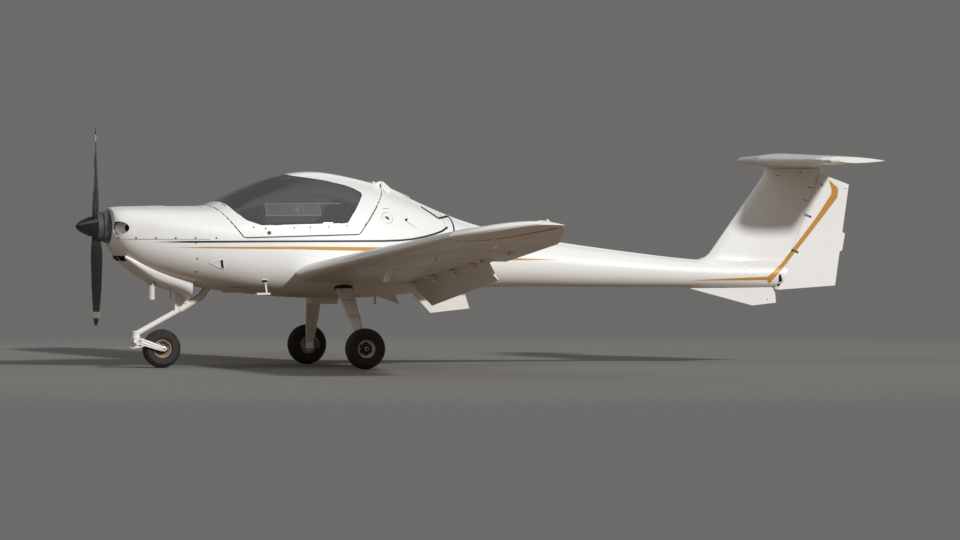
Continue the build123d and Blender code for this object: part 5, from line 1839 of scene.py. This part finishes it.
# ============================================================== the landing gear
@dataclass
class Wheel:
    """One wheel: treaded tyre, cast rim, hub and valve."""

    name: str
    body: str
    centre: Triple
    radius: float
    width: float
    rim_radius: float
    paint: bpy.types.Material
    finish: Finishes
    hub_radius: float = 0.026
    bolts: int = 6
    bead: float = 0.0

    def build(self) -> None:
        """Makes the wheel's pieces in place of its plain ones."""
        self.tyre()
        self.rim()

    def tyre(self) -> None:
        """A tyre with round shoulders, four grooves and a moulded wall bead."""
        half, r = self.width / 2, self.radius
        wall = [(half * 0.62, self.rim_radius + 0.001 - self.bead),
                (half * 0.80, self.rim_radius + 0.002 - self.bead),
                (half * 0.90, self.rim_radius + 0.004),
                (half * 0.975, self.rim_radius + 0.016), (half, (self.rim_radius + r) / 2),
                (half * 0.985, (self.rim_radius + r) / 2 + 0.012),
                (half * 0.93, r - 0.036), (half * 0.86, r - 0.0255), (half * 0.80, r - 0.0225)]
        tread = [(half * 0.70, r - 0.013), (half * 0.60, r - 0.0085)]
        for share in (0.50, 0.17):
            crown = r - 0.0085 * (share / 0.6) ** 2
            tread += [(half * (share + 0.05), crown), (half * (share + 0.035), crown - 0.005),
                      (half * (share - 0.035), crown - 0.005), (half * (share - 0.05), crown)]
        side = wall + tread
        profile = side + [(0.0, r)] + [(-a, b) for a, b in reversed(side)]
        made = Piece(f"{self.name}_tyre_tread",
                     Rubber(f"{self.name}_rubber", self.centre, r).build(), self.body, "tyre_rubber",
                     smooth=34)
        made.turned(profile, self.centre, (0, 1, 0), 96, loop=True)
        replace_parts(made.place(), f"{self.name}_tyre")

    def rim(self) -> None:
        """A two-part rim with a rolled flange, dished web, bolts and hub, with near-black painted shade
        in the hub's recess.
        """
        half, r = self.width * 0.36, self.rim_radius
        made = Piece(f"{self.name}_wheel_rim", self.paint, self.body, "wheel_metal", smooth=40)
        outer = [(half * 0.98, r + 0.001), (half, r - 0.005), (half * 0.98, r - 0.011),
                 (half * 0.80, r - 0.014), (half * 0.60, r - 0.018), (half * 0.42, r - 0.028),
                 (half * 0.36, r * 0.60), (half * 0.44, r * 0.44),
                 (half * 0.62, self.hub_radius + 0.010), (half * 0.98, self.hub_radius + 0.004)]
        profile = (outer + [(half * 0.98, 0.0126), (-half * 0.98, 0.0126)]
                   + [(-a, b) for a, b in reversed(outer)])
        made.turned(profile, self.centre, (0, 1, 0), 72, loop=True)
        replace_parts(made.place(), f"{self.name}_rim")
        nuts = Piece(f"{self.name}_rim_bolts", self.finish.steel, self.body)
        # Painted shade: the near-black dish inside the rim stands for the shade of the hub's recess.
        dish = Piece(f"{self.name}_hub_recess_painted_shade", self.finish.void, self.body, slot="wheel_metal")
        ring = Piece(f"{self.name}_bearing_ring", self.finish.disc, self.body)
        for side in SIDES:
            for a in angles(self.bolts):
                spot = Vector(self.centre) + Vector((r * 0.62 * math.cos(a), side * half * 0.36,
                                                     r * 0.62 * math.sin(a)))
                nuts.turned([(0.0, 0.0072), (0.006, 0.0072), (0.007, 0.006)], spot, (0, side, 0), 6)
                nuts.turned([(0.007, 0.0035), (0.011, 0.0035)], spot, (0, side, 0), 10)
            face = half * 0.40 * side
            middle = Vector(self.centre)
            dish.turned([(face, r * 0.66), (face + side * 0.004, r * 0.64),
                         (side * half * 0.50, r * 0.455), (side * half * 0.66, self.hub_radius + 0.011),
                         (side * (half * 0.98 + 0.001), self.hub_radius + 0.005),
                         (side * (half * 0.98 + 0.001), 0.013), (face, 0.013)],
                        middle, (0, 1, 0), 48, loop=True)
            ring.turned([(face, r * 0.500), (face + side * 0.0075, r * 0.495),
                         (face + side * 0.0085, r * 0.470), (face, r * 0.465)], middle, (0, 1, 0), 48,
                        loop=True)
        place_all(dish, ring)
        valve = Vector(self.centre) + Vector((r * 0.55, -half * 0.4, r * 0.55))
        nuts.tube([valve, valve + Vector((0.004, -0.022, 0.004))], [0.004, 0.003], 10)
        nuts.place()


@dataclass
class Gear:
    """Wheels, brakes and fittings of the undercarriage."""

    skin: Skin
    finish: Finishes
    main_x: float = -1.222
    main_y: float = 0.953
    main_r: float = 0.178
    nose: Triple = (-2.806, 0.0, 0.170)
    leg: tuple[Triple, Triple] = ((-1.286, 0.440, 0.745), (-1.222, 0.868, 0.200))
    seal_share: float = 0.088

    def build(self) -> None:
        """Makes every piece of the gear."""
        for side, name in ((-1, "left"), (1, "right")):
            centre = (self.main_x, side * self.main_y, self.main_r)
            Wheel(name, f"{name}_wheel", centre, self.main_r, 0.124, 0.088, self.finish.cream,
                  self.finish, bead=0.010).build()
            self.brake(side, name)
            self.hub(side, name)
        Wheel("nose", "nose_wheel", self.nose, 0.170, 0.118, 0.080, self.finish.bronze,
              self.finish, 0.022, 3).build()
        self.nose_fittings()
        self.leg_roots()

    def brake(self, side: int, name: str) -> None:
        """Brake disc on the wheel, and the caliper's hose and its clips on the leg."""
        disc = Piece(f"{name}_brake_disc", self.finish.disc, f"{name}_wheel")
        y = side * (self.main_y - 0.0535)
        disc.turned([(-0.0025, 0.066), (-0.0015, 0.067), (0.0015, 0.067), (0.0025, 0.066),
                     (0.0025, 0.036), (-0.0025, 0.036)], (self.main_x, y, self.main_r),
                    (0, 1, 0), 56, loop=True)
        disc.turned([(-0.012, 0.0365), (0.012, 0.0365), (0.012, 0.028), (-0.012, 0.028)],
                    (self.main_x, y + side * 0.010, self.main_r), (0, 1, 0), 40, loop=True)
        disc.place()
        line = Piece(f"{name}_brake_hose", self.finish.gear, slot="dark_plastic")
        top, low = self.leg_line(side)
        route = [(self.main_x + 0.074, side * 0.866, 0.215)]
        for share in (0.90, 0.72, 0.54, 0.36, 0.20, 0.08):
            route.append(top.lerp(low, share) + Vector((0.079 - 0.039 * share, 0, 0)))
        line.tube(smooth_path(route, 5), 0.0042, 10)
        line.place()
        clip = Piece(f"{name}_hose_clips", self.finish.chrome)
        for share in (0.30, 0.55, 0.78):
            spot = top.lerp(low, share)
            half = 0.073 - 0.037 * share
            clip.tube([spot + Vector((-half, 0, 0)) + Vector((0, side * 0.016, 0.014)),
                       spot + Vector((half + 0.012, side * 0.016, 0.014)),
                       spot + Vector((half + 0.014, -side * 0.010, -0.008)),
                       spot + Vector((-half, -side * 0.016, -0.014))], 0.0022, 8)
        clip.place()

    def leg_line(self, side: int) -> Place:
        """The middle of one leg's root and of its foot."""
        return tuple(Vector((x, side * y, z)) for x, y, z in self.leg)

    def hub(self, side: int, name: str) -> None:
        """Axle nut with its split pin."""
        nut = Piece(f"{name}_axle_nut", self.finish.screw)
        spot = Vector((self.main_x, side * (self.main_y + 0.052), self.main_r))
        nut.turned([(0.0, 0.0175), (0.004, 0.0175), (0.005, 0.016)], spot, (0, side, 0), 6)
        nut.turned([(0.004, 0.008), (0.010, 0.008), (0.011, 0.006)], spot, (0, side, 0), 20)
        nut.tube([spot + Vector((-0.012, side * 0.008, 0)),
                  spot + Vector((0.014, side * 0.008, 0.003))], 0.0016, 8)
        nut.place()

    def nose_fittings(self) -> None:
        """Strut bolts, castor collar, fork tubes, tow loop and axle ends."""
        bolt = Piece("nose_strut_bolts", self.finish.screw)
        for side in SIDES:
            bolt.stud((Vector((-2.595, side * 0.022, 0.560)), Vector((0, side, 0))), 0.007, 0.004)
            bolt.stud((Vector((-2.645, side * 0.022, 0.665)), Vector((0, side, 0))), 0.006, 0.003)
        bolt.place()
        collar = Piece("castor_collar", self.finish.gear)
        pivot_x = -3.036
        collar.turned([(-0.002, 0.0335), (-0.002, 0.0385), (0.010, 0.0385), (0.012, 0.0335)],
                      (pivot_x, 0, 0.266), (0, 0, 1), 40, loop=True)
        collar.turned([(0.0, 0.0335), (0.0, 0.037), (0.008, 0.037), (0.012, 0.030), (0.016, 0.016),
                       (0.016, 0.0)], (pivot_x, 0, 0.312), (0, 0, 1), 40)
        collar.place()
        fork = Piece("nose_fork_fittings", self.finish.gear, "nose_castor")
        metal = Piece("nose_axle_ends", self.finish.screw, "nose_castor")
        for side in SIDES:
            y = side * 0.0885
            start, end = Vector((-3.020, y, 0.243)), Vector((-2.822, y, 0.172))
            for lift in (-0.013, 0.013):
                fork.tube([start + Vector((0, 0, lift)), end + Vector((0, 0, lift * 0.7))],
                          [0.0065, 0.0055], 12)
            for spot, radius in ((start, 0.019), (end + Vector((0.016, 0, -0.002)), 0.0225)):
                fork.turned([(0.0, radius), (0.007, radius), (0.010, radius * 0.8), (0.010, 0.0)],
                            spot, (0, side, 0), 32)
                metal.turned([(0.009, 0.0085), (0.013, 0.0085), (0.014, 0.006), (0.014, 0.0)],
                             spot, (0, side, 0), 6)
        lug = [(-2.984, -0.080, 0.196), (-3.040, -0.066, 0.180), (-3.084, -0.040, 0.177),
               (-3.096, 0.0, 0.176), (-3.084, 0.040, 0.177), (-3.040, 0.066, 0.180),
               (-2.984, 0.080, 0.196)]
        fork.tube(smooth_path(lug, 3), 0.0075, 12)
        place_all(fork, metal)

    def leg_roots(self) -> None:
        """Rubber seals where the legs leave the body."""
        seal = Piece("leg_root_seals", self.finish.seal)
        for side in SIDES:
            top, low = self.leg_line(side)
            way = (low - top).normalized()
            across = Vector((0, way.z, -way.y)).normalized()
            along = Vector((1, 0, 0))
            centre = top.lerp(low, self.seal_share)
            rings = []
            for step, extra in ((-0.030, 0.010), (0.0, 0.010), (0.012, 0.004)):
                rings.append([centre + way * step + along * (0.074 + extra) * math.cos(a)
                              + across * (0.018 + extra) * math.sin(a) for a in angles(28)])
            seal.rings(rings)
        seal.place()


def smooth_path(points: Sequence[Any], steps: int) -> list[Vector]:
    """A smooth line through points.

    Args:
        points: the places it passes through.
        steps: steps between two places.

    Returns:
        The denser line.
    """
    line = [Vector(p) for p in points]
    line = [line[0] * 2 - line[1]] + line + [line[-1] * 2 - line[-2]]
    out: list[Vector] = []
    for a, b, c, d in zip(line, line[1:], line[2:], line[3:]):
        for k in range(steps):
            t = k / steps
            out.append((b * 2 + (c - a) * t + (a * 2 - b * 5 + c * 4 - d) * t * t
                        + (b * 3 - a - c * 3 + d) * t ** 3) * 0.5)
    out.append(line[-2])
    return out


# ===================================================================== the cabin
@dataclass
class Dial:
    """One round instrument: where it sits, its size and where its needle points."""

    y: float
    z: float
    radius: float = 0.039
    needle: float = 0.0


@dataclass
class Panel:
    """The instrument panel's dials, radios, switches and knobs."""

    finish: Finishes
    face_x: float = -1.975
    dials: tuple[Dial, ...] = (
        Dial(-0.385, 1.315, needle=40), Dial(-0.295, 1.315, needle=90), Dial(-0.205, 1.315, needle=-60),
        Dial(-0.385, 1.222, needle=130), Dial(-0.295, 1.222, needle=0), Dial(-0.205, 1.222, needle=200),
        Dial(0.185, 1.315, 0.028, 30), Dial(0.255, 1.315, 0.028, 70), Dial(0.325, 1.315, 0.028, -40),
        Dial(0.185, 1.245, 0.028, 110), Dial(0.255, 1.245, 0.028, -80), Dial(0.325, 1.245, 0.028, 15),
        Dial(-0.125, 1.150, 0.022, 60))

    def build(self) -> None:
        """Makes the panel's pieces."""
        self.instruments()
        self.radios()
        self.switches()
        self.compass()

    def instruments(self) -> None:
        """Bezels, faces, marks and needles."""
        bezel = Piece("instrument_bezels", self.finish.dark, slot="panel_black")
        face = Piece("instrument_faces", self.finish.void, slot="panel_black")
        mark = Piece("instrument_marks", self.finish.pale_ink)
        screw = Piece("instrument_screws", self.finish.steel)
        for dial in self.dials:
            r = dial.radius
            centre = Vector((self.face_x, dial.y, dial.z))
            bezel.turned([(-0.001, r * 1.06), (0.005, r * 1.06), (0.007, r), (0.003, r * 0.93),
                          (-0.001, r * 0.93)], centre, (1, 0, 0), 40, loop=True)
            face.turned([(0.0, r * 0.94), (0.002, r * 0.94), (0.0022, 0.0)], centre, (1, 0, 0), 36)
            for k, a in enumerate(angles(24)):
                out = Vector((0, math.sin(a), math.cos(a)))
                side = Vector((0, math.cos(a), -math.sin(a))) * (0.0009 if k % 2 else 0.0014)
                inner = r * (0.80 if k % 2 else 0.72)
                start = centre + Vector((0.0024, 0, 0))
                mark.prism([start + out * inner - side, start + out * inner + side,
                            start + out * r * 0.90 + side, start + out * r * 0.90 - side],
                           (0.0006, 0, 0))
            a = math.radians(dial.needle)
            out = Vector((0, math.sin(a), math.cos(a)))
            side = Vector((0, math.cos(a), -math.sin(a))) * 0.0022
            start = centre + Vector((0.0030, 0, 0))
            mark.prism([start - out * r * 0.18 - side, start - out * r * 0.18 + side,
                        start + out * r * 0.68 + side * 0.2, start + out * r * 0.68 - side * 0.2],
                       (0.0008, 0, 0))
            face.turned([(0.0038, 0.005), (0.0048, 0.004)], centre, (1, 0, 0), 16)
            for k in range(4):
                a = math.pi / 4 + math.pi / 2 * k
                screw.stud((centre + Vector((0, math.sin(a), math.cos(a))) * r * 1.16,
                            Vector((1, 0, 0))), 0.0028, 0.0012, 10)
        place_all(bezel, face, mark, screw)

    def radios(self) -> None:
        """The stack of radio boxes with their windows, keys and knobs."""
        box = Piece("radio_boxes", self.finish.dark, slot="panel_black")
        glass = Piece("radio_windows", self.finish.screen)
        knob = Piece("radio_knobs", self.finish.dark)
        z = 1.352
        for height in (0.034, 0.070, 0.038, 0.038, 0.030):
            box.block((self.face_x, 0.003, z - height), (self.face_x + 0.007, 0.140, z - 0.002))
            glass.block((self.face_x + 0.006, 0.026, z - height + 0.010),
                        (self.face_x + 0.0078, 0.112, z - 0.008))
            for y in (0.014, 0.128):
                spot = (self.face_x + 0.007, y, z - height / 2)
                knob.turned([(0.0, 0.0075), (0.010, 0.0068), (0.011, 0.005)], spot, (1, 0, 0), 18)
                knob.turned([(0.010, 0.0040), (0.018, 0.0036)], spot, (1, 0, 0), 14)
            z -= height
        box.bevel(0.0012, 1)
        place_all(box, glass, knob)

    def switches(self) -> None:
        """Rocker switches, breakers and the ignition key."""
        rocker = Piece("rocker_switches", self.finish.pale_ink, slot="dark_plastic")
        breaker = Piece("circuit_breakers", self.finish.dark)
        for k in range(8):
            x, y, low, high = self.face_x, -0.40 + 0.028 * k, 1.095, 1.119
            rocker.prism([(x, y, low), (x + 0.006, y, low), (x + 0.010, y, high), (x, y, high)],
                         (0, 0.013, 0))
        for row in range(3):
            for k in range(7):
                spot = (self.face_x, 0.20 + 0.028 * k, 1.160 - 0.030 * row)
                breaker.turned([(0.0, 0.0075), (0.002, 0.0075), (0.002, 0.005), (0.010, 0.005),
                                (0.011, 0.004)], spot, (1, 0, 0), 14)
        rocker.bevel(0.001, 1)
        place_all(rocker, breaker)
        key = Piece("ignition_key", self.finish.steel)
        key.turned([(0.0, 0.013), (0.004, 0.013), (0.006, 0.010)], (self.face_x, -0.435, 1.107),
                   (1, 0, 0), 26)
        key.block((self.face_x + 0.004, -0.437, 1.094), (self.face_x + 0.034, -0.433, 1.120))
        key.place()

    def compass(self) -> None:
        """The compass on the glareshield."""
        body = Piece("compass_case", self.finish.dark)
        body.turned([(-0.026, 0.020), (-0.020, 0.027), (0.0, 0.030), (0.018, 0.027), (0.024, 0.020)],
                    (-2.09, 0.0, 1.478), (1, 0, 0), 32)
        body.block((-2.105, -0.012, 1.425), (-2.075, 0.012, 1.455))
        body.place()
        lens = Piece("compass_window", self.finish.clear)
        lens.turned([(0.0, 0.0195), (0.006, 0.017), (0.009, 0.008)], (-2.066, 0.0, 1.478),
                    (1, 0, 0), 28)
        lens.place()


@dataclass
class Cushion:
    """A stuffed seat pad: a slab blown up as cloth, then sewn into channels."""

    name: str
    node: str
    origin: Triple
    along: Triple
    length: float
    width: float
    thick: float
    cloth: bpy.types.Material
    sides: tuple[float, float]
    seams: tuple[float, ...] = (-0.118, 0.118)
    voxel: float = 0.006
    limit: float = 0.012

    def frame(self) -> Matrix:
        """The pad's own axes: along, across and out of its face."""
        along = Vector(self.along).normalized()
        across = Vector((0, 1, 0))
        return Matrix((along, across, along.cross(across))).transposed()

    def build(self) -> None:
        """Makes the pad once and sets it in both seats."""
        mesh = self.slab()
        self.inflate(mesh)
        self.sew(mesh)
        for side, label in zip(self.sides, ("left", "right")):
            self.set_down(mesh, side, label)

    def slab(self) -> bpy.types.Mesh:
        """The flat block of foam, rounded and remeshed.

        Returns:
            Its mesh, in the pad's own axes.
        """
        half_l, half_w, steps = self.length / 2 - 0.012, self.width / 2 - 0.012, 72
        bm = bmesh.new()
        rings = []
        for height, inset in ((0.006, 0.010), (0.014, 0.0), (self.thick * 0.55, 0.0),
                              (self.thick * 0.74, 0.014)):
            ring = []
            for a in angles(steps):
                c, s = math.cos(a), math.sin(a)
                bend = (abs(c) ** 6 + abs(s) ** 6) ** (-1 / 6)
                ring.append(bm.verts.new(((half_l - inset) * c * bend, (half_w - inset) * s * bend,
                                          height)))
            rings.append(ring)
        for first, second in zip(rings, rings[1:]):
            for i in range(steps):
                j = (i + 1) % steps
                bm.faces.new((first[i], first[j], second[j], second[i]))
        bm.faces.new(list(reversed(rings[0])))
        bm.faces.new(rings[-1])
        mesh = bpy.data.meshes.new(self.name)
        bm.to_mesh(mesh)
        bm.free()
        return self.applied(mesh, "REMESH", {"mode": "VOXEL", "voxel_size": self.voxel})

    def applied(self, mesh: bpy.types.Mesh, kind: str, settings: dict[str, Any]) -> bpy.types.Mesh:
        """Applies one modifier to a mesh.

        Args:
            mesh: the mesh.
            kind: the modifier's type.
            settings: its properties.

        Returns:
            The new mesh.
        """
        holder = bpy.data.objects.new("pad_in_work", mesh)
        bpy.context.scene.collection.objects.link(holder)
        modifier = holder.modifiers.new(kind.title(), kind)
        for key, setting in settings.items():
            setattr(modifier, key, setting)
        graph = bpy.context.evaluated_depsgraph_get()
        made = bpy.data.meshes.new_from_object(holder.evaluated_get(graph))
        bpy.data.objects.remove(holder)
        return made

    def inflate(self, mesh: bpy.types.Mesh) -> None:
        """Blows the pad up as cloth, with each point's travel capped.

        Args:
            mesh: the pad, which is changed in place.
        """
        holder = bpy.data.objects.new("pad_in_work", mesh)
        scene = bpy.context.scene
        scene.collection.objects.link(holder)
        before = [vertex.co.copy() for vertex in mesh.vertices]
        cloth = holder.modifiers.new("Cloth", "CLOTH")
        cloth.settings.use_pressure = True
        cloth.settings.uniform_pressure_force = 4.0
        cloth.settings.effector_weights.gravity = 0.0
        cloth.settings.quality = 4
        cloth.point_cache.frame_start = 1
        cloth.point_cache.frame_end = 20
        for frame in range(1, 21):
            scene.frame_set(frame)
        graph = bpy.context.evaluated_depsgraph_get()
        blown = bpy.data.meshes.new_from_object(holder.evaluated_get(graph))
        for vertex, start, end in zip(mesh.vertices, before, blown.vertices):
            move = end.co - start
            if move.length > self.limit:
                move = move.normalized() * self.limit
            place = start + move
            vertex.co = (place.x, place.y, max(place.z, 0.001))
        bpy.data.objects.remove(holder)
        bpy.data.meshes.remove(blown)
        scene.frame_set(1)

    def sew(self, mesh: bpy.types.Mesh) -> None:
        """Draws the upper face in along its sewn lines.

        Args:
            mesh: the pad, which is changed in place.
        """
        for vertex in mesh.vertices:
            x, y, z = vertex.co
            if z < self.thick * 0.4:
                continue
            pull = 0.0
            for seam in self.seams:
                pull += 0.007 * math.exp(-((y - seam) / 0.007) ** 2)
            if abs(y) < max(self.seams):
                pitch = self.length / 5
                off = (x / pitch - round(x / pitch)) * pitch
                pull += 0.005 * math.exp(-(off / 0.006) ** 2)
            vertex.co.z = z - pull

    def set_down(self, mesh: bpy.types.Mesh, side: float, label: str) -> None:
        """Puts a copy of the pad in one seat.

        Args:
            mesh: the pad.
            side: the seat's distance from the centre line.
            label: the seat's name.
        """
        mesh = self.applied(mesh.copy(), "SUBSURF", {"levels": 1})
        place = Matrix.Translation(Vector(self.origin) + Vector((0, side, 0))) @ self.frame().to_4x4()
        mesh.transform(place)
        mesh.polygons.foreach_set("use_smooth", [True] * len(mesh.polygons))
        made = bpy.data.objects.new(f"{label}_{self.name}", mesh)
        bpy.context.scene.collection.objects.link(made)
        mesh.materials.clear()
        mesh.materials.append(self.cloth)
        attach(made, "airframe")
        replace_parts(made, self.node)
        LOG.info("%s_%s: %d faces", label, self.name, len(mesh.polygons))


@dataclass
class Cabin:
    """Everything inside the canopy apart from the panel."""

    finish: Finishes
    seat_y: float = 0.275

    def build(self) -> None:
        """Makes the cabin's pieces."""
        Panel(self.finish).build()
        self.cushions()
        self.belts()
        self.sticks()
        self.levers()
        self.linings()
        self.headset_hooks()

    def cushions(self) -> None:
        """Seat and back pads of both seats."""
        sides = (-self.seat_y, self.seat_y)
        Cushion("seat_pad", "seat_cushions", (-1.605, 0.0, 0.846), (0.386, 0, -0.033), 0.385, 0.43,
                0.062, self.finish.cloth, sides).build()
        lean = Vector((0.245, 0, 0.570)).normalized()
        foot = Vector((-1.318, 0.0, 0.848))
        middle = foot + lean * 0.298
        Cushion("back_pad", "back_cushions", tuple(middle + BACK_WAY * 0.001),
                tuple(-lean), 0.575, 0.40, 0.062, self.finish.cloth, sides,
                seams=(-0.108, 0.108)).build()

    def strap(self, piece: Piece, points: Sequence[Any], width: float, across: Any = (0, 1, 0)) -> None:
        """A flat webbing strap along points.

        Args:
            piece: the piece to add it to.
            points: its middle line.
            width: its width.
            across: the direction of its width.
        """
        line = smooth_path(points, 6)
        side = Vector(across).normalized() * (width / 2)
        rings = []
        for i, point in enumerate(line):
            way = line[min(i + 1, len(line) - 1)] - line[max(i - 1, 0)]
            lift = way.cross(side).normalized() * 0.0012
            rings.append([point - side - lift, point + side - lift, point + side + lift,
                          point - side + lift])
        piece.rings(rings)

    def belts(self) -> None:
        """Shoulder and lap straps with their buckles."""
        web = Piece("seat_belts", self.finish.webbing, smooth=60)
        buckle = Piece("belt_buckles", self.finish.steel)
        tongue = Piece("belt_releases", self.finish.knob_red)
        lap_way = Vector((-0.25, 0, 1.0))
        for side in SIDES:
            y = side * self.seat_y
            for edge in (-1, 1):
                top = y + edge * 0.085
                self.strap(web, [(-0.815, top * 0.98, 1.330), (-0.985, top, 1.400),
                                 (-1.095, top, 1.418), (-1.165, top - edge * 0.010, 1.375),
                                 (-1.300, top - edge * 0.030, 1.080),
                                 (-1.370, top - edge * 0.055, 0.945),
                                 (-1.430, y + edge * 0.024, 0.925)], 0.044)
                self.strap(web, [(-1.345, y + edge * 0.205, 0.860), (-1.385, y + edge * 0.180, 0.915),
                                 (-1.420, y + edge * 0.105, 0.930), (-1.440, y + edge * 0.030, 0.930)],
                           0.044, (0.55, 0, 0.83))
            buckle.turned([(-0.006, 0.026), (0.006, 0.026), (0.010, 0.022), (0.010, 0.0)],
                          (-1.440, y, 0.930), lap_way, 36)
            for edge in (-1, 1):
                spot = Vector((-1.24, y + edge * 0.072, 1.222))
                buckle.block((-0.020, -0.026, -0.003), (0.020, 0.026, 0.003),
                             square_frame(BACK_WAY), spot)
            tongue.block((-0.020, -0.008, 0.0), (0.020, 0.008, 0.006), square_frame(lap_way),
                         (-1.4425, y, 0.940))
        buckle.bevel(0.0015, 1)
        tongue.bevel(0.002, 1)
        place_all(web, buckle, tongue)

    def sticks(self) -> None:
        """Ribbed grips, buttons and boot pleats of the control sticks."""
        grip = Piece("stick_grips", self.finish.seal)
        button = Piece("stick_buttons", self.finish.knob_red)
        for side in SIDES:
            y = side * self.seat_y
            low, top = Vector((-1.862, y, 0.900)), Vector((-1.835, y, 1.010))
            way = (top - low).normalized()
            profile = []
            for k in range(12):
                along = 0.004 + 0.0085 * k
                profile += [(along, 0.0180), (along + 0.004, 0.0205), (along + 0.0075, 0.0190)]
            profile += [(0.112, 0.020), (0.122, 0.016), (0.126, 0.006)]
            grip.turned(profile, low, way, 28)
            for k in range(4):
                grip.turned([(-0.003, 0.030 - 0.006 * k), (0.002, 0.036 - 0.006 * k),
                             (0.007, 0.028 - 0.006 * k)],
                            (-1.872 + 0.001 * k, y, 0.712 + 0.016 * k), (0, 0, 1), 28)
            button.turned([(0.0, 0.006), (0.006, 0.006), (0.008, 0.004)],
                          top + way * 0.016 + Vector((0.0, 0.008, 0)), way, 16)
            button.turned([(0.0, 0.006), (0.010, 0.005), (0.012, 0.003)],
                          low + way * 0.085 + Vector((-0.018, 0, 0)), (-1, 0, 0.2), 14)
        place_all(grip, button)

    def levers(self) -> None:
        """Throttle and mixture levers on the console, with near-black strips of painted shade for their
        slots.
        """
        arm = Piece("console_levers", self.finish.steel)
        knob = Piece("throttle_knob", self.finish.dark)
        red = Piece("mixture_knob", self.finish.knob_red)
        slot = Piece("lever_slot_painted_shade", self.finish.void)
        for y, piece in ((-0.024, knob), (0.024, red)):
            foot, head = Vector((-1.925, y, 1.006)), Vector((-1.945, y, 1.085))
            arm.tube([foot, head], 0.0045, 10)
            piece.turned([(-0.016, 0.008), (-0.012, 0.015), (0.0, 0.018), (0.012, 0.015),
                          (0.016, 0.008)], head, (0, 1, 0), 24)
            slot.block((-1.985, y - 0.005, 1.0095), (-1.895, y + 0.005, 1.0115))
        place_all(arm, knob, red, slot)

    def linings(self) -> None:
        """Carpet and side pockets."""
        carpet = Piece("cabin_floor_carpet", self.finish.carpet)
        for side in SIDES:
            y0, y1 = sorted((side * 0.075, side * 0.37))
            carpet.block((-2.26, y0, 0.7005), (-1.915, y1, 0.7065))
        carpet.bevel(0.003)
        carpet.place()
        pocket = Piece("map_pockets", self.finish.liner)
        for side in SIDES:
            y = side * CABIN_WALL_Y
            pocket.prism([(-1.86, y, 1.02), (-1.58, y, 1.02), (-1.56, y, 1.14), (-1.88, y, 1.14)],
                         (0, -side * 0.014, 0))
        pocket.bevel(0.006, 3)
        pocket.place()

    def headset_hooks(self) -> None:
        """Sockets for headsets on the rear wall."""
        hook = Piece("headset_sockets", self.finish.dark)
        for side in SIDES:
            for z in (1.18, 1.215):
                hook.turned([(0.0, 0.011), (0.004, 0.011), (0.005, 0.008), (0.001, 0.004)],
                            (-0.801, side * 0.30, z), (-1, 0, 0), 20)
        hook.place()


def main() -> None:
    """Builds the aircraft's visible pieces in order."""
    logging.basicConfig(level=logging.INFO, format="%(name)s: %(message)s", stream=sys.stdout)
    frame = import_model()
    finish = Finishes()
    finish.dress(frame)
    Studio().build()
    hull = Skin(frame, ("fuselage", "upper_cowl", "lower_cowl"))
    canopy = Skin(frame, ("canopy_frame", "canopy_glass"))
    whole = Skin(frame, ("fuselage", "canopy_frame", "canopy_glass", "upper_cowl", "lower_cowl"))
    wings = Skin(frame, [f"{side}_{part}" for side in ("left", "right")
                         for part in ("wing", "wing_tip", "aileron")])
    tail = Skin(frame, ("fin", "rudder", "fuselage", "tailplane", "elevator"))
    Cowling(hull, finish).build()
    Canopy(canopy, whole, finish).build()
    FuselageTrim(hull, finish).build()
    WingTrim(wings, finish).build()
    TailTrim(tail, finish).build()
    PropellerTrim(finish).build()
    Gear(hull, finish).build()
    Cabin(finish).build()
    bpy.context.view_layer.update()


if __name__ == "__main__":
    main()
